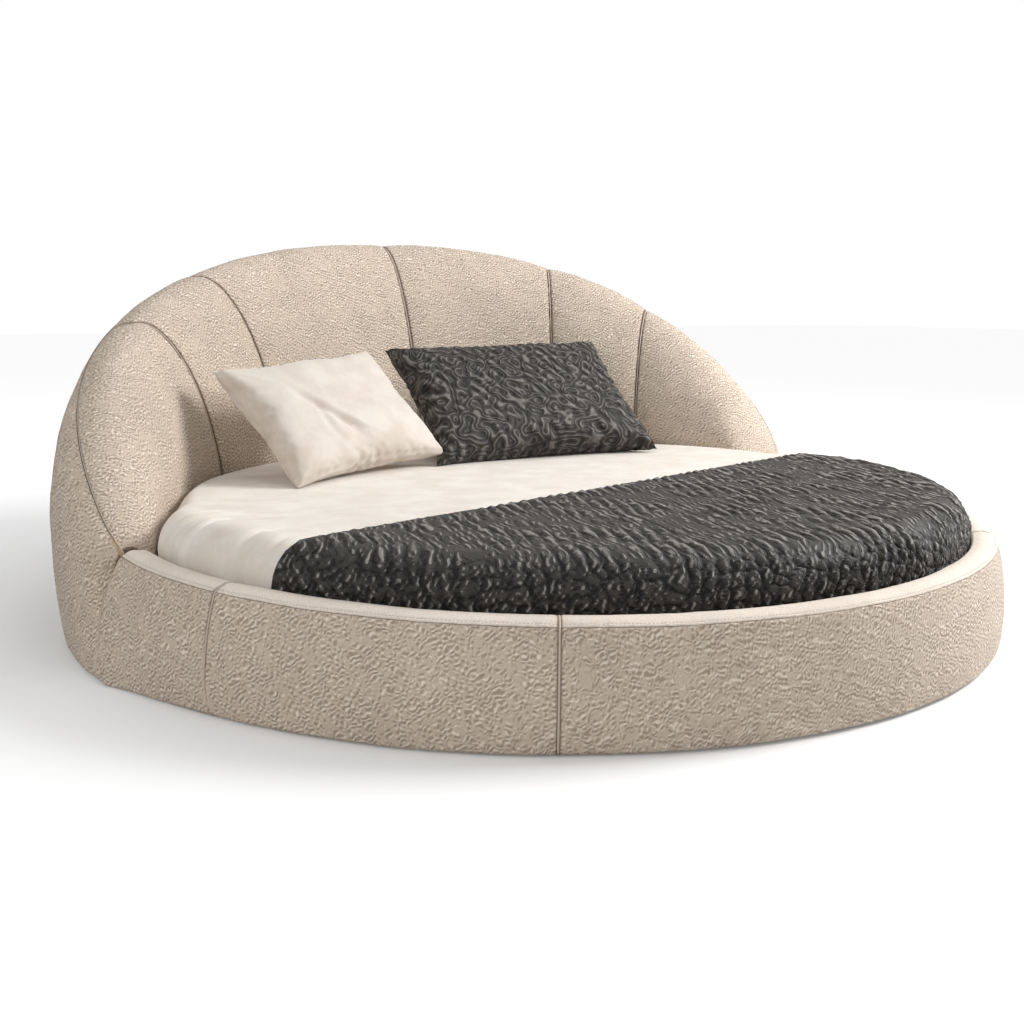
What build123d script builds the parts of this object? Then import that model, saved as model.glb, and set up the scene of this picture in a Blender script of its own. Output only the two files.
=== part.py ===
from build123d import *
import os
from math import asin, cos, degrees, radians, sin, sqrt

os.makedirs("parts", exist_ok=True)

# A round bed. The origin is on the floor under the middle of the ring, the head is at +Y,
# the foot at -Y and the left side, seen from the foot, at -X. Angles run from the head
# towards +X, so the left side has negative angles.

# Ring of padded rails round the mattress
seam_radius = 1180
seam_height = 267.5
rail_lean = 1.07
rail_bottom = 12
bulge_radius = 1205
bulge_depth = 140
rail_foot_radius = 1193
rail_foot_depth = 285
rail_inner_radius = 1115
top_edge_round = 12
top_band_crown = 9
flap_thickness = 4
flap_depth = 110
board_thickness = 36
top_foam = 18

# Ends of the rail sections, from the left end of the headboard round the foot to the right
left_end = -92.5
right_end = 74.5
full_turn = 360
rail_cuts = [left_end, -113.3, -149.5, -224.0, -260.2, right_end - full_turn]
rail_names = ["rear_left", "left", "front", "right", "rear_right"]

# Padded headboard that follows the ring
channel_seams = [left_end, -53.5, -34.5, 2.0, 32.0, 50.0, right_end]
headboard_height = 1030
arm_height = 290
crest_radius = 1154
back_radius = 1312
back_end_radius = 1215
back_bulge_height = 205
back_tuck = 25
face_circle_radius = 1075
face_circle_shift = 145
arm_face_radius = 1108
face_top = 350
crest_foam = 100
back_foam = 60
lining_thickness = 6
top_lining_thickness = 8
rib_thickness = 18
base_plate_thickness = 18
parting_tuck = 150
rib_top_drop = 2
crest_puff = 10
face_puff = 20
fit_gap = 0.3

# Where the middle of a quarter arc lies, from its corner
arc_middle_share = 1 - sqrt(1 / 2)

# Shapes of the headboard's curves, as plain numbers
left_fall_share = 1.79
right_fall_share = 2.38
fall_root_share = 1.33
face_power_share = 1.78
back_power_share = 2.76
end_swell_share = 14
parting_share = 0.48
top_lining_share = 0.97
arm_face_share = 0.6
face_shares = [0, 0.3, 0.6, 0.8, 1]
back_shares = [parting_share, 0.7, 0.86, 0.96, 1]
back_foot_share = 0.25
pillow_shares = [-1, -0.94, -0.78, -0.45, 0, 0.45, 0.78, 0.94, 1]

# Slatted base inside the ring
deck_height = 150
slat_thickness = 22
slat_width = 70
slat_pitch = 140
slat_rows = 15
slat_end_radius = 1100
slat_middle_gap = 8
ledger_height = 30
ledger_depth = 35
beam_width = 60
beam_height = 60
beam_side_gap = 2
bracket_thickness = 4
bracket_length = 70
bracket_side_height = 40
leg_diameter = 50
leg_count = 3
leg_pitch = 560

# Feet and fasteners
glide_diameter = 40
glides_per_rail = 2
headboard_glides = 7
plate_thickness = 6
plate_height = 66
plate_bottom = 26
plate_length = 150
bolt_diameter = 8
bolt_head_width = 16
bolt_head_height = 5
bolt_length = 30
bolt_column_pitch = 90
bolt_row_pitch = 36
nut_height = 6
hexagon_sides = 6
screw_diameter = 5
screw_head_diameter = 9
screw_head_height = 3
screw_length = 45
screws_per_ledger = 3
head_seat = 0.1
cut_overrun = 5

# Mattress with its quilted cover and fitted sheet
mattress_radius = 1100
mattress_top = 350
mattress_side_gap = 6
mattress_arm_radius = 1146
mattress_arm_shift = 396
mattress_corner_round = 250
mattress_top_round = 75
mattress_bottom_round = 18
sheet_thickness = 1.5
ticking_thickness = 4
sheet_turn_under = 90

# Quilted throw laid at a slant over the foot of the bed
throw_thickness = 10
throw_slant = 16.1
throw_edge_distance = 229
throw_hem_height = 225

# Pillows, as they lean on the headboard and on each other
pillow_cover_thickness = 2
pillow_edge_thickness = 8
pillow_draw_in = 14
dark_pillow_width = 790
dark_pillow_height = 540
dark_pillow_thickness = 165
dark_pillow_centre = (248, 568, 523.5)
dark_pillow_yaw = -4.0
dark_pillow_recline = 51.5
dark_pillow_roll = 1.2
cream_pillow_width = 590
cream_pillow_height = 440
cream_pillow_thickness = 150
cream_pillow_centre = (-458, 434, 516.6)
cream_pillow_yaw = 18.4
cream_pillow_recline = 46.7
cream_pillow_roll = 4.5

# Places that follow from the sizes above
board_inner_radius = rail_inner_radius + flap_thickness
board_outer_radius = board_inner_radius + board_thickness
lining_outer_radius = board_inner_radius + lining_thickness
slat_bottom = deck_height - slat_thickness
ledger_bottom = slat_bottom - ledger_height
ledger_inner_radius = board_inner_radius - ledger_depth
beam_bottom = slat_bottom - beam_height
base_plate_top = rail_bottom + base_plate_thickness
pad_bottom = deck_height + lining_thickness


def polar_point(radius, angle, height=0):
    turn = radians(angle)
    return Vector(radius * sin(turn), radius * cos(turn), height)


# Upright plane through the bed's axis, with its own X pointing outwards
def ring_plane(angle):
    return Plane(origin=(0, 0, 0), x_dir=polar_point(1, angle), z_dir=polar_point(1, angle + 90))


# Plane square to a radius, at a place on the ring, that faces the bed's axis
def inward_plane(radius, angle, height):
    return Plane(origin=polar_point(radius, angle, height), z_dir=polar_point(-1, angle))


def spaced(start, end, shares):
    return [start + (end - start) * share for share in shares]


def angle_of(length, radius):
    return degrees(length / radius)


def export_piece(piece, name):
    piece.part.label = name
    export_step(piece.part, f"parts/{name}.step")


# Keeps the wedge between two angles, where the first is the larger one
def keep_wedge(high_angle, low_angle):
    split(bisect_by=ring_plane(high_angle), keep=Keep.BOTTOM)
    split(bisect_by=ring_plane(low_angle), keep=Keep.TOP)


# Bar of rectangular section that runs round the ring between two angles
def ring_bar(high_angle, low_angle, inner_radius, outer_radius, bottom, top):
    with BuildSketch(ring_plane(high_angle)) as section:
        with Locations(((inner_radius + outer_radius) / 2, (bottom + top) / 2)):
            Rectangle(outer_radius - inner_radius, top - bottom)
    revolve(section.sketch, axis=Axis.Z, revolution_arc=high_angle - low_angle)


# Places of the bolts in the plates that join the sections: angle and height
def plate_bolts(cut):
    middle = plate_bottom + plate_height / 2
    for side in (-1, 1):
        for row in (-1, 1):
            column = side * angle_of(bolt_column_pitch / 2, board_inner_radius)
            yield cut + column, middle + row * bolt_row_pitch / 2


# Places of the screws along one ledger, at the middle of its height
def ledger_screws(high_angle, low_angle):
    for number in range(screws_per_ledger):
        share = (number + 1 / 2) / screws_per_ledger
        yield high_angle + (low_angle - high_angle) * share, ledger_bottom + ledger_height / 2


def radial_holes(places, radius, diameter, depth):
    for angle, height in places:
        with BuildSketch(inward_plane(radius - cut_overrun, angle, height)) as hole:
            Circle(diameter / 2)
        extrude(hole.sketch, amount=-depth - cut_overrun, mode=Mode.SUBTRACT)


# The slats' beam runs from the foot to the head, so the ledgers stop short of it
ledger_gap = degrees(asin((beam_width / 2 + bracket_thickness + beam_side_gap) / ledger_inner_radius))
ledger_spans = {
    "ledger_rear_left": (rail_cuts[0], rail_cuts[1]),
    "ledger_left": (rail_cuts[1], rail_cuts[2]),
    "ledger_front_left": (rail_cuts[2], -180 + ledger_gap),
    "ledger_front_right": (-180 - ledger_gap, rail_cuts[3]),
    "ledger_right": (rail_cuts[3], rail_cuts[4]),
    "ledger_rear_right": (rail_cuts[4], rail_cuts[5]),
    "ledger_head_right": (right_end, ledger_gap),
    "ledger_head_left": (-ledger_gap, left_end),
}
all_bolts = [place for cut in rail_cuts for place in plate_bolts(cut)]
all_screws = [place for span in ledger_spans.values() for place in ledger_screws(*span)]
bolt_hole_depth = bolt_length - plate_thickness
screw_hole_depth = screw_length - ledger_depth

# The top of the rails lies in a plane that rises a little towards the head, so their
# pads turn about an axis that leans back by the same angle. The boards inside stand upright.
lean = radians(rail_lean)
lean_axis = Vector(0, -sin(lean), cos(lean))
seam_plane = Plane(origin=(0, 0, seam_height), x_dir=(1, 0, 0), z_dir=lean_axis)
board_top_plane = seam_plane.offset(-top_foam)
rail_section_plane = Plane(origin=seam_plane.origin, x_dir=(1, 0, 0), z_dir=(0, -cos(lean), -sin(lean)))

with BuildPart() as board_ring:
    with BuildSketch(Plane.XY.offset(rail_bottom)):
        Circle(board_outer_radius)
        Circle(board_inner_radius, mode=Mode.SUBTRACT)
    extrude(amount=seam_height)
    split(bisect_by=board_top_plane, keep=Keep.BOTTOM)

corner = top_edge_round * arc_middle_share
with BuildPart() as pad_ring:
    with BuildSketch(rail_section_plane):
        with BuildLine():
            foot_outer = (rail_foot_radius, -rail_foot_depth)
            seam_point = (seam_radius, 0)
            band_end = (rail_inner_radius + top_edge_round, top_band_crown)
            inner_edge = (rail_inner_radius, top_band_crown - top_edge_round)
            ThreePointArc(foot_outer, (bulge_radius, -bulge_depth), seam_point)
            ThreePointArc(seam_point, ((seam_radius + band_end[0]) / 2, top_band_crown), band_end)
            ThreePointArc(band_end, (rail_inner_radius + corner, top_band_crown - corner), inner_edge)
            Polyline(inner_edge, (rail_inner_radius, -rail_foot_depth), foot_outer)
        make_face()
    revolve(axis=Axis(seam_plane.origin, lean_axis))
    split(bisect_by=Plane.XY.offset(rail_bottom), keep=Keep.TOP)
    with BuildSketch():
        Circle(board_outer_radius)
    extrude(amount=seam_height - flap_depth, mode=Mode.SUBTRACT)
    add(board_ring.part, mode=Mode.SUBTRACT)

for index, name in enumerate(rail_names):
    high_cut, low_cut = rail_cuts[index], rail_cuts[index + 1]
    with BuildPart() as rail_board:
        add(board_ring.part)
        keep_wedge(high_cut, low_cut)
        bolts_here = [place for place in all_bolts if low_cut < place[0] < high_cut]
        screws_here = [place for place in all_screws if low_cut < place[0] < high_cut]
        radial_holes(bolts_here, board_inner_radius, bolt_diameter, bolt_hole_depth)
        radial_holes(screws_here, board_inner_radius, screw_diameter, screw_hole_depth)
    export_piece(rail_board, f"rail_board_{name}")
    with BuildPart() as rail_pad:
        add(pad_ring.part)
        keep_wedge(high_cut, low_cut)
    export_piece(rail_pad, f"rail_pad_{name}")


# Height of the headboard's crest at an angle round the ring
def crest_height(angle):
    end, power = (left_end, left_fall_share) if angle < 0 else (right_end, right_fall_share)
    share = min(1, angle / end)
    return arm_height + (headboard_height - arm_height) * (1 - share ** power) ** (1 / fall_root_share)


# Radius of the headboard's back, which draws in to the rail at both arms
def back_radius_at(angle):
    share = min(1, angle / (left_end if angle < 0 else right_end))
    return back_end_radius + (back_radius - back_end_radius) * sqrt(1 - share ** end_swell_share)


# The foot of the face follows a circle whose middle lies towards the foot of the bed. The left
# arm ends further round, so there the face runs out to the ring.
def face_radius(angle):
    turn = radians(angle)
    reach = sqrt(face_circle_radius ** 2 - (face_circle_shift * sin(turn)) ** 2)
    on_circle = reach - face_circle_shift * cos(turn)
    end_share = max(0, angle / left_end) ** end_swell_share
    return on_circle + (arm_face_radius - on_circle) * end_share


# Point on the padded face: share 0 is the top of its upright foot, share 1 the crest
def face_point(angle, share, puff):
    turn = radians(90 * share)
    crest = crest_height(angle) + puff * crest_puff
    foot = min(face_top, pad_bottom + arm_face_share * (crest - pad_bottom))
    near = face_radius(angle) - puff * face_puff
    radius = crest_radius - (crest_radius - near) * cos(turn) ** (2 / face_power_share)
    return radius, foot + (crest - foot) * sin(turn) ** (2 / face_power_share)


# Point on the back: share 0 is the crest, share 1 the widest place
def back_point(angle, share, puff=0):
    rise = sqrt(max(0, 1 - share ** back_power_share))
    crest = crest_height(angle) + puff * crest_puff
    radius = crest_radius + (back_radius_at(angle) - crest_radius) * share
    return radius, back_bulge_height + (crest - back_bulge_height) * rise ** (2 / back_power_share)


def core_top(angle):
    return crest_height(angle) - crest_foam


def core_back_radius(angle):
    return back_radius_at(angle) - back_foam


def loft_round(angles, outline, mode=Mode.ADD):
    sections = []
    for angle in angles:
        with BuildSketch(ring_plane(angle)) as section:
            with BuildLine():
                outline(angle)
            make_face()
        sections.append(section.sketch)
    loft(sections, ruled=True, mode=mode)


# Sections of one channel's length. They stand closer beside the seams, where the pads draw in,
# and closer still at the arms, where the headboard swells fastest.
arm_shares = [0, 0.01, 0.03, 0.06, 0.1, 0.15, 0.21, 0.28, 0.36, 0.45, 0.55, 0.66, 0.77, 0.87, 0.95, 1]
channel_shares = [0, 0.05, 0.14, 0.25, 0.37, 0.5, 0.63, 0.75, 0.86, 0.95, 1]
channel_spans = list(zip(channel_seams[:-1], channel_seams[1:]))


def channel_angles(start, end):
    if start == left_end:
        return spaced(start, end, arm_shares)
    if end == right_end:
        return spaced(end, start, arm_shares)[::-1]
    return spaced(start, end, channel_shares)


headboard_angles = [left_end]
for span in channel_spans:
    headboard_angles += channel_angles(*span)[1:]


# Channel pads of the headboard. Each is full in its middle and drawn in at its two seams.
def puff_at(angle, start, end):
    share = (angle - start) / (end - start)
    return max(0, 4 * share * (1 - share)) ** (1 / 2)


for number, (start, end) in enumerate(channel_spans, start=1):

    def channel_line(angle):
        puff = puff_at(angle, start, end)
        steps = [face_point(angle, share, puff) for share in face_shares]
        parting = back_point(angle, parting_share)
        crest_end = back_point(angle, parting_share / 2, puff / 2)
        foot = (steps[0][0], pad_bottom)
        Line(foot, steps[0])
        ThreePointArc(steps[0], steps[1], steps[2])
        ThreePointArc(steps[2], steps[3], steps[4])
        ThreePointArc(steps[4], crest_end, parting)
        Polyline(parting, (board_inner_radius, core_top(angle)), (board_inner_radius, pad_bottom), foot)

    with BuildPart() as channel_pad:
        loft_round(channel_angles(start, end), channel_line)
    export_piece(channel_pad, f"headboard_channel_{number}")


# Padded back, from the parting seam behind the crest down to the floor gap
def back_pad_line(angle):
    steps = [back_point(angle, share) for share in back_shares]
    start = (steps[0][0], steps[0][1] - fit_gap)
    back = back_radius_at(angle)
    inner = core_back_radius(angle) + lining_thickness
    foot = (back - back_tuck, rail_bottom)
    ThreePointArc(start, steps[1], steps[2])
    ThreePointArc(steps[2], steps[3], steps[4])
    knee = (back - back_tuck * back_foot_share, (rail_bottom + back_bulge_height) / 2)
    ThreePointArc(steps[4], knee, foot)
    Polyline(foot, (inner, rail_bottom), (inner, steps[0][1] - parting_tuck), start)


with BuildPart() as back_pad:
    loft_round(headboard_angles, back_pad_line)
export_piece(back_pad, "headboard_back_pad")


# Thin plywood linings under the pads, on a base plate and seven ribs. The front lining is cut
# off along the core's top.
def above_front_lining(angle):
    bottom = core_top(angle) - top_lining_thickness
    Polyline((rail_inner_radius, bottom), (board_outer_radius, bottom),
             (board_outer_radius, headboard_height), (rail_inner_radius, headboard_height), close=True)


def back_lining_line(angle):
    inner = core_back_radius(angle)
    top = back_point(angle, parting_share)[1] - parting_tuck
    Polyline((inner, base_plate_top), (inner + lining_thickness, base_plate_top),
             (inner + lining_thickness, top), (inner, top), close=True)


# Height of the slope under the crest, at a radius between the front lining and the parting seam
def slope_height(angle, radius):
    seam_at, height = back_point(angle, parting_share)
    share = (radius - board_inner_radius) / (seam_at - board_inner_radius)
    return core_top(angle) + (height - core_top(angle)) * share


def top_lining_line(angle):
    front = board_inner_radius
    back = front + (back_point(angle, parting_share)[0] - front) * top_lining_share
    high, low = slope_height(angle, back), slope_height(angle, front)
    Polyline((front, low), (back, high), (back, high - top_lining_thickness),
             (front, low - top_lining_thickness), close=True)


# Each rib is stepped round the back lining's upper edge, and above it carries the back pad. Its
# outline clears what is beside it at both of the rib's sides.
def rib_line(low_angle, high_angle):
    seam_at, height = back_point(low_angle, parting_share)
    front = lining_outer_radius + fit_gap
    back = min(core_back_radius(low_angle), core_back_radius(high_angle)) - fit_gap
    step = back_point(high_angle, parting_share)[1] - parting_tuck + fit_gap
    top = height - top_lining_thickness - rib_top_drop
    pad_side = back + lining_thickness
    pad_slope = (seam_at - fit_gap - pad_side) / parting_tuck
    low_corner = pad_side + pad_slope * (step - height + parting_tuck)
    top_corner = pad_side + pad_slope * (top - height + parting_tuck)
    under_lining = slope_height(low_angle, front) - top_lining_thickness - fit_gap
    Polyline((front, base_plate_top), (back, base_plate_top), (back, step), (low_corner, step),
             (top_corner, top), (front, under_lining), close=True)


with BuildPart() as front_lining:
    ring_bar(right_end, left_end, board_inner_radius, lining_outer_radius, base_plate_top, headboard_height)
    loft_round(headboard_angles, above_front_lining, mode=Mode.SUBTRACT)
    lining_screws = [place for place in all_screws if left_end < place[0] < right_end]
    lining_bolts = [place for place in all_bolts if left_end < place[0] < right_end]
    lining_bolts += [(angle + full_turn, height) for angle, height in all_bolts
                     if angle + full_turn < right_end]
    radial_holes(lining_screws, board_inner_radius, screw_diameter, screw_hole_depth)
    radial_holes(lining_bolts, board_inner_radius, bolt_diameter, bolt_hole_depth)
export_piece(front_lining, "headboard_front_lining")

with BuildPart() as back_lining:
    loft_round(headboard_angles, back_lining_line)
export_piece(back_lining, "headboard_back_lining")

with BuildPart() as top_lining:
    loft_round(headboard_angles, top_lining_line)
export_piece(top_lining, "headboard_top_lining")

with BuildPart() as base_plate:
    with BuildSketch(Plane.XY.offset(rail_bottom)):
        with BuildLine():
            rim = [polar_point(core_back_radius(angle) + lining_thickness, angle)
                   for angle in headboard_angles]
            left_foot = polar_point(board_inner_radius, left_end)
            right_foot = polar_point(board_inner_radius, right_end)
            middle_foot = polar_point(board_inner_radius, (left_end + right_end) / 2)
            Polyline(left_foot, *rim, right_foot)
            ThreePointArc(right_foot, middle_foot, left_foot)
        make_face()
    extrude(amount=base_plate_thickness)
export_piece(base_plate, "headboard_base_plate")

for number, seam in enumerate(channel_seams, start=1):
    half = angle_of(rib_thickness / 2, board_outer_radius)
    middle = min(max(seam, left_end + half), right_end - half)
    low_side, high_side = (middle + half, middle - half) if middle > 0 else (middle - half, middle + half)

    def one_rib_line(angle):
        rib_line(low_side, high_side)

    with BuildPart() as rib:
        loft_round([middle - half, middle + half], one_rib_line)
    export_piece(rib, f"headboard_rib_{number}")

# Ledgers that carry the slats' outer ends
for name, (high_angle, low_angle) in ledger_spans.items():
    with BuildPart() as ledger:
        ring_bar(high_angle, low_angle, ledger_inner_radius, board_inner_radius, ledger_bottom, slat_bottom)
        radial_holes(ledger_screws(high_angle, low_angle), ledger_inner_radius, screw_diameter, ledger_depth)
    export_piece(ledger, name)

with BuildPart() as ledger_screw_set:
    for angle, height in all_screws:
        with BuildSketch(inward_plane(ledger_inner_radius - head_seat, angle, height)):
            Circle(screw_head_diameter / 2)
        extrude(amount=screw_head_height)
        with BuildSketch(inward_plane(ledger_inner_radius - head_seat, angle, height)):
            Circle(screw_diameter / 2)
        extrude(amount=-screw_length)
export_piece(ledger_screw_set, "ledger_screws")

# Steel plates and bolts that join the sections to each other and to the headboard
half_plate = angle_of(plate_length / 2, board_inner_radius)
plate_inner_radius = board_inner_radius - plate_thickness
with BuildPart() as joint_plates:
    for cut in rail_cuts:
        ring_bar(cut + half_plate, cut - half_plate, plate_inner_radius, board_inner_radius,
                 plate_bottom, plate_bottom + plate_height)
    radial_holes(all_bolts, plate_inner_radius, bolt_diameter, plate_thickness)
export_piece(joint_plates, "joint_plates")

with BuildPart() as joint_bolts:
    for angle, height in all_bolts:
        with BuildSketch(inward_plane(plate_inner_radius - head_seat, angle, height)):
            RegularPolygon(bolt_head_width / 2, hexagon_sides)
        extrude(amount=bolt_head_height)
        with BuildSketch(inward_plane(plate_inner_radius - head_seat, angle, height)):
            Circle(bolt_diameter / 2)
        extrude(amount=-bolt_length)
export_piece(joint_bolts, "joint_bolts")

with BuildPart() as joint_nuts:
    for angle, height in lining_bolts:
        with BuildSketch(inward_plane(lining_outer_radius + head_seat, angle, height)):
            RegularPolygon(bolt_head_width / 2, hexagon_sides)
            Circle(bolt_diameter / 2, mode=Mode.SUBTRACT)
        extrude(amount=-nut_height)
export_piece(joint_nuts, "joint_nuts")

# Beam from the foot to the head, in a bracket at each end, on short legs
beam_reach = sqrt(board_inner_radius ** 2 - (beam_width / 2 + bracket_thickness) ** 2) - fit_gap
beam_length = 2 * (beam_reach - bracket_thickness - beam_side_gap)
with BuildPart() as centre_beam:
    with BuildSketch(Plane.XY.offset(beam_bottom)):
        Rectangle(beam_width, beam_length)
    extrude(amount=beam_height)
export_piece(centre_beam, "centre_beam")

for name, side in (("beam_bracket_foot", -1), ("beam_bracket_head", 1)):
    outer_width = beam_width + 2 * bracket_thickness
    with BuildPart() as bracket:
        with BuildSketch(Plane.XY.offset(beam_bottom - bracket_thickness)):
            with Locations((0, side * (beam_reach - bracket_length / 2))):
                Rectangle(outer_width, bracket_length)
        extrude(amount=bracket_side_height)
        with BuildSketch(Plane.XY.offset(beam_bottom)):
            with Locations((0, side * (beam_reach - bracket_thickness - bracket_length / 2))):
                Rectangle(beam_width, bracket_length)
        extrude(amount=bracket_side_height, mode=Mode.SUBTRACT)
    export_piece(bracket, name)

leg_places = [(0, (number - (leg_count - 1) / 2) * leg_pitch) for number in range(leg_count)]
with BuildPart() as beam_legs:
    with BuildSketch(Plane.XY.offset(rail_bottom)):
        with Locations(*leg_places):
            Circle(leg_diameter / 2)
    extrude(amount=beam_bottom - rail_bottom)
export_piece(beam_legs, "beam_legs")


# Glides that the whole bed stands on
def glide_set(places, name):
    with BuildPart() as glides:
        with BuildSketch():
            with Locations(*places):
                Circle(glide_diameter / 2)
        extrude(amount=rail_bottom)
    export_piece(glides, name)


board_middle = (board_inner_radius + board_outer_radius) / 2
rail_glide_places = []
for high_cut, low_cut in zip(rail_cuts[:-1], rail_cuts[1:]):
    for number in range(glides_per_rail):
        share = (number + 1 / 2) / glides_per_rail
        rail_glide_places.append(polar_point(board_middle, high_cut + (low_cut - high_cut) * share))
glide_set(rail_glide_places, "rail_glides")
headboard_places = []
for number in range(headboard_glides):
    share = (number + 1 / 2) / headboard_glides
    headboard_places.append(polar_point(board_outer_radius, left_end + (right_end - left_end) * share))
glide_set(headboard_places, "headboard_glides")
glide_set(leg_places, "leg_glides")

# Slats in two halves that meet over the beam
for name, side in (("slats_left", -1), ("slats_right", 1)):
    with BuildPart() as slats:
        with BuildSketch(Plane.XY.offset(slat_bottom)):
            for row in range(slat_rows):
                y = (row - (slat_rows - 1) / 2) * slat_pitch
                reach = sqrt(slat_end_radius ** 2 - (abs(y) + slat_width / 2) ** 2)
                with Locations((side * (reach + slat_middle_gap / 2) / 2, y)):
                    Rectangle(reach - slat_middle_gap / 2, slat_width)
        extrude(amount=slat_thickness)
    export_piece(slats, name)

# Mattress. Its outline is the ring's circle, cut at the head by the circle of the face and
# beside the arms by a wider one.
mattress_face_radius = face_circle_radius - face_puff - mattress_side_gap


def mattress_outline(grow):
    with Locations((0, -face_circle_shift)):
        Circle(mattress_face_radius + grow)
    with Locations((0, -mattress_arm_shift)):
        Circle(mattress_arm_radius + grow)
    Circle(mattress_radius + grow, mode=Mode.INTERSECT)


def mattress_block(grow, bottom, top, mode=Mode.ADD):
    with BuildPart(mode=Mode.PRIVATE) as block:
        with BuildSketch(Plane.XY.offset(bottom)):
            mattress_outline(grow)
        extrude(amount=top - bottom)
        fillet(block.edges().filter_by(Axis.Z), mattress_corner_round)
        fillet(block.faces().sort_by(Axis.Z)[-1].edges(), mattress_top_round + grow)
        fillet(block.faces().sort_by(Axis.Z)[0].edges(), mattress_bottom_round)
    return block.part


sheet_inside = -sheet_thickness
core_inside = -(sheet_thickness + ticking_thickness)
whole_mattress = mattress_block(0, deck_height, mattress_top)
ticking_block = mattress_block(sheet_inside, deck_height + sheet_thickness, mattress_top - sheet_thickness)
core_block = mattress_block(core_inside, deck_height - core_inside, mattress_top + core_inside)

with BuildPart() as mattress_core:
    add(core_block)
export_piece(mattress_core, "mattress_core")

with BuildPart() as mattress_ticking:
    add(ticking_block)
    add(core_block, mode=Mode.SUBTRACT)
export_piece(mattress_ticking, "mattress_ticking")

with BuildPart() as fitted_sheet:
    add(whole_mattress)
    add(ticking_block, mode=Mode.SUBTRACT)
    with BuildSketch(Plane.XY.offset(deck_height)):
        mattress_outline(-sheet_turn_under)
    extrude(amount=sheet_thickness, mode=Mode.SUBTRACT)
export_piece(fitted_sheet, "fitted_sheet")

# Throw over the foot of the mattress, with its straight edge across the bed
slant = radians(throw_slant)
throw_edge = Plane(origin=(throw_edge_distance * sin(slant), -throw_edge_distance * cos(slant), 0),
                   x_dir=(0, 0, 1), z_dir=(sin(slant), -cos(slant), 0))
throw_outside = mattress_block(fit_gap + throw_thickness, deck_height,
                               mattress_top + fit_gap + throw_thickness)
throw_inside = mattress_block(fit_gap, deck_height - throw_thickness, mattress_top + fit_gap)
with BuildPart() as throw:
    add(throw_outside)
    add(throw_inside, mode=Mode.SUBTRACT)
    split(bisect_by=Plane.XY.offset(throw_hem_height), keep=Keep.TOP)
    split(bisect_by=throw_edge, keep=Keep.TOP)
export_piece(throw, "throw")


# Pillow in its own place: a full middle, thin edges and long sides that are drawn in
def pillow_form(width, height, thickness, centre, yaw, recline, roll, inset):
    yaw_turn, lean_turn, roll_turn = radians(yaw), radians(recline), radians(roll)
    flat_across = Vector(cos(yaw_turn), sin(yaw_turn), 0)
    front = Vector(sin(yaw_turn) * cos(lean_turn), -cos(yaw_turn) * cos(lean_turn), sin(lean_turn))
    flat_up = front.cross(flat_across)
    across = flat_across * cos(roll_turn) + flat_up * sin(roll_turn)
    up = flat_up * cos(roll_turn) - flat_across * sin(roll_turn)
    edge = pillow_edge_thickness / 2 - inset
    with BuildPart(mode=Mode.PRIVATE) as pillow:
        for share in pillow_shares:
            fullness = sqrt(1 - share ** 2)
            half_height = height / 2 - inset - pillow_draw_in * fullness
            depth = edge + (thickness / 2 - pillow_edge_thickness / 2) * fullness
            origin = Vector(*centre) + across * (share * (width / 2 - inset))
            with BuildSketch(Plane(origin=origin, x_dir=up, z_dir=across)):
                with BuildLine():
                    ThreePointArc((-half_height, 0), (0, depth), (half_height, 0))
                    ThreePointArc((half_height, 0), (0, -depth), (-half_height, 0))
                make_face()
        loft()
    return pillow.part


pillows = {
    "dark": (dark_pillow_width, dark_pillow_height, dark_pillow_thickness, dark_pillow_centre,
             dark_pillow_yaw, dark_pillow_recline, dark_pillow_roll),
    "cream": (cream_pillow_width, cream_pillow_height, cream_pillow_thickness, cream_pillow_centre,
              cream_pillow_yaw, cream_pillow_recline, cream_pillow_roll),
}
for name, sizes in pillows.items():
    whole_form = pillow_form(*sizes, inset=0)
    insert_form = pillow_form(*sizes, inset=pillow_cover_thickness)
    with BuildPart() as pillow_insert:
        add(insert_form)
    export_piece(pillow_insert, f"{name}_pillow_insert")
    with BuildPart() as pillow_cover:
        add(whole_form)
        add(insert_form, mode=Mode.SUBTRACT)
    export_piece(pillow_cover, f"{name}_pillow_cover")
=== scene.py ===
import itertools
import math

import bmesh
import bpy
import numpy as np
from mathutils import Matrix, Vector


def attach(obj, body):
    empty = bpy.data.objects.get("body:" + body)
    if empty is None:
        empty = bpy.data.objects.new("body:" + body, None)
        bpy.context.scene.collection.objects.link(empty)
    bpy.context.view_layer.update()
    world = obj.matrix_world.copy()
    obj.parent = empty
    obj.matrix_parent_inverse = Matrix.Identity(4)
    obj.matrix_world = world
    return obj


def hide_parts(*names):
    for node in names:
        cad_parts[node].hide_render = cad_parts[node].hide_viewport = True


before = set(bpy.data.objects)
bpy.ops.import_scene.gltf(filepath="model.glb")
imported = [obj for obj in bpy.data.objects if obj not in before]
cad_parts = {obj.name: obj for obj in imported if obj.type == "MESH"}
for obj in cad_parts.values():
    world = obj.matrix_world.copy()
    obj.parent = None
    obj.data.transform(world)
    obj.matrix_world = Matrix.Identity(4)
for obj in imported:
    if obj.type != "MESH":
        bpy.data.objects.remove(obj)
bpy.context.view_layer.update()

scene = bpy.context.scene
scene.view_settings.view_transform = "Standard"


# Small helpers for nodes

def feed(tree, socket, value):
    if isinstance(value, bpy.types.NodeSocket):
        tree.links.new(value, socket)
    else:
        socket.default_value = value


def addNode(tree, kind, inputs=None, **properties):
    # a node with its properties set, and each input linked or given its value
    node = tree.nodes.new(kind)
    for name, value in properties.items():
        setattr(node, name, value)
    for key, value in (inputs or {}).items():
        feed(tree, node.inputs[key], value)
    return node


def calc(tree, operation, a, b=0.0, c=0.0):
    return addNode(tree, "ShaderNodeMath", {0: a, 1: b, 2: c}, operation=operation).outputs[0]


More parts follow.
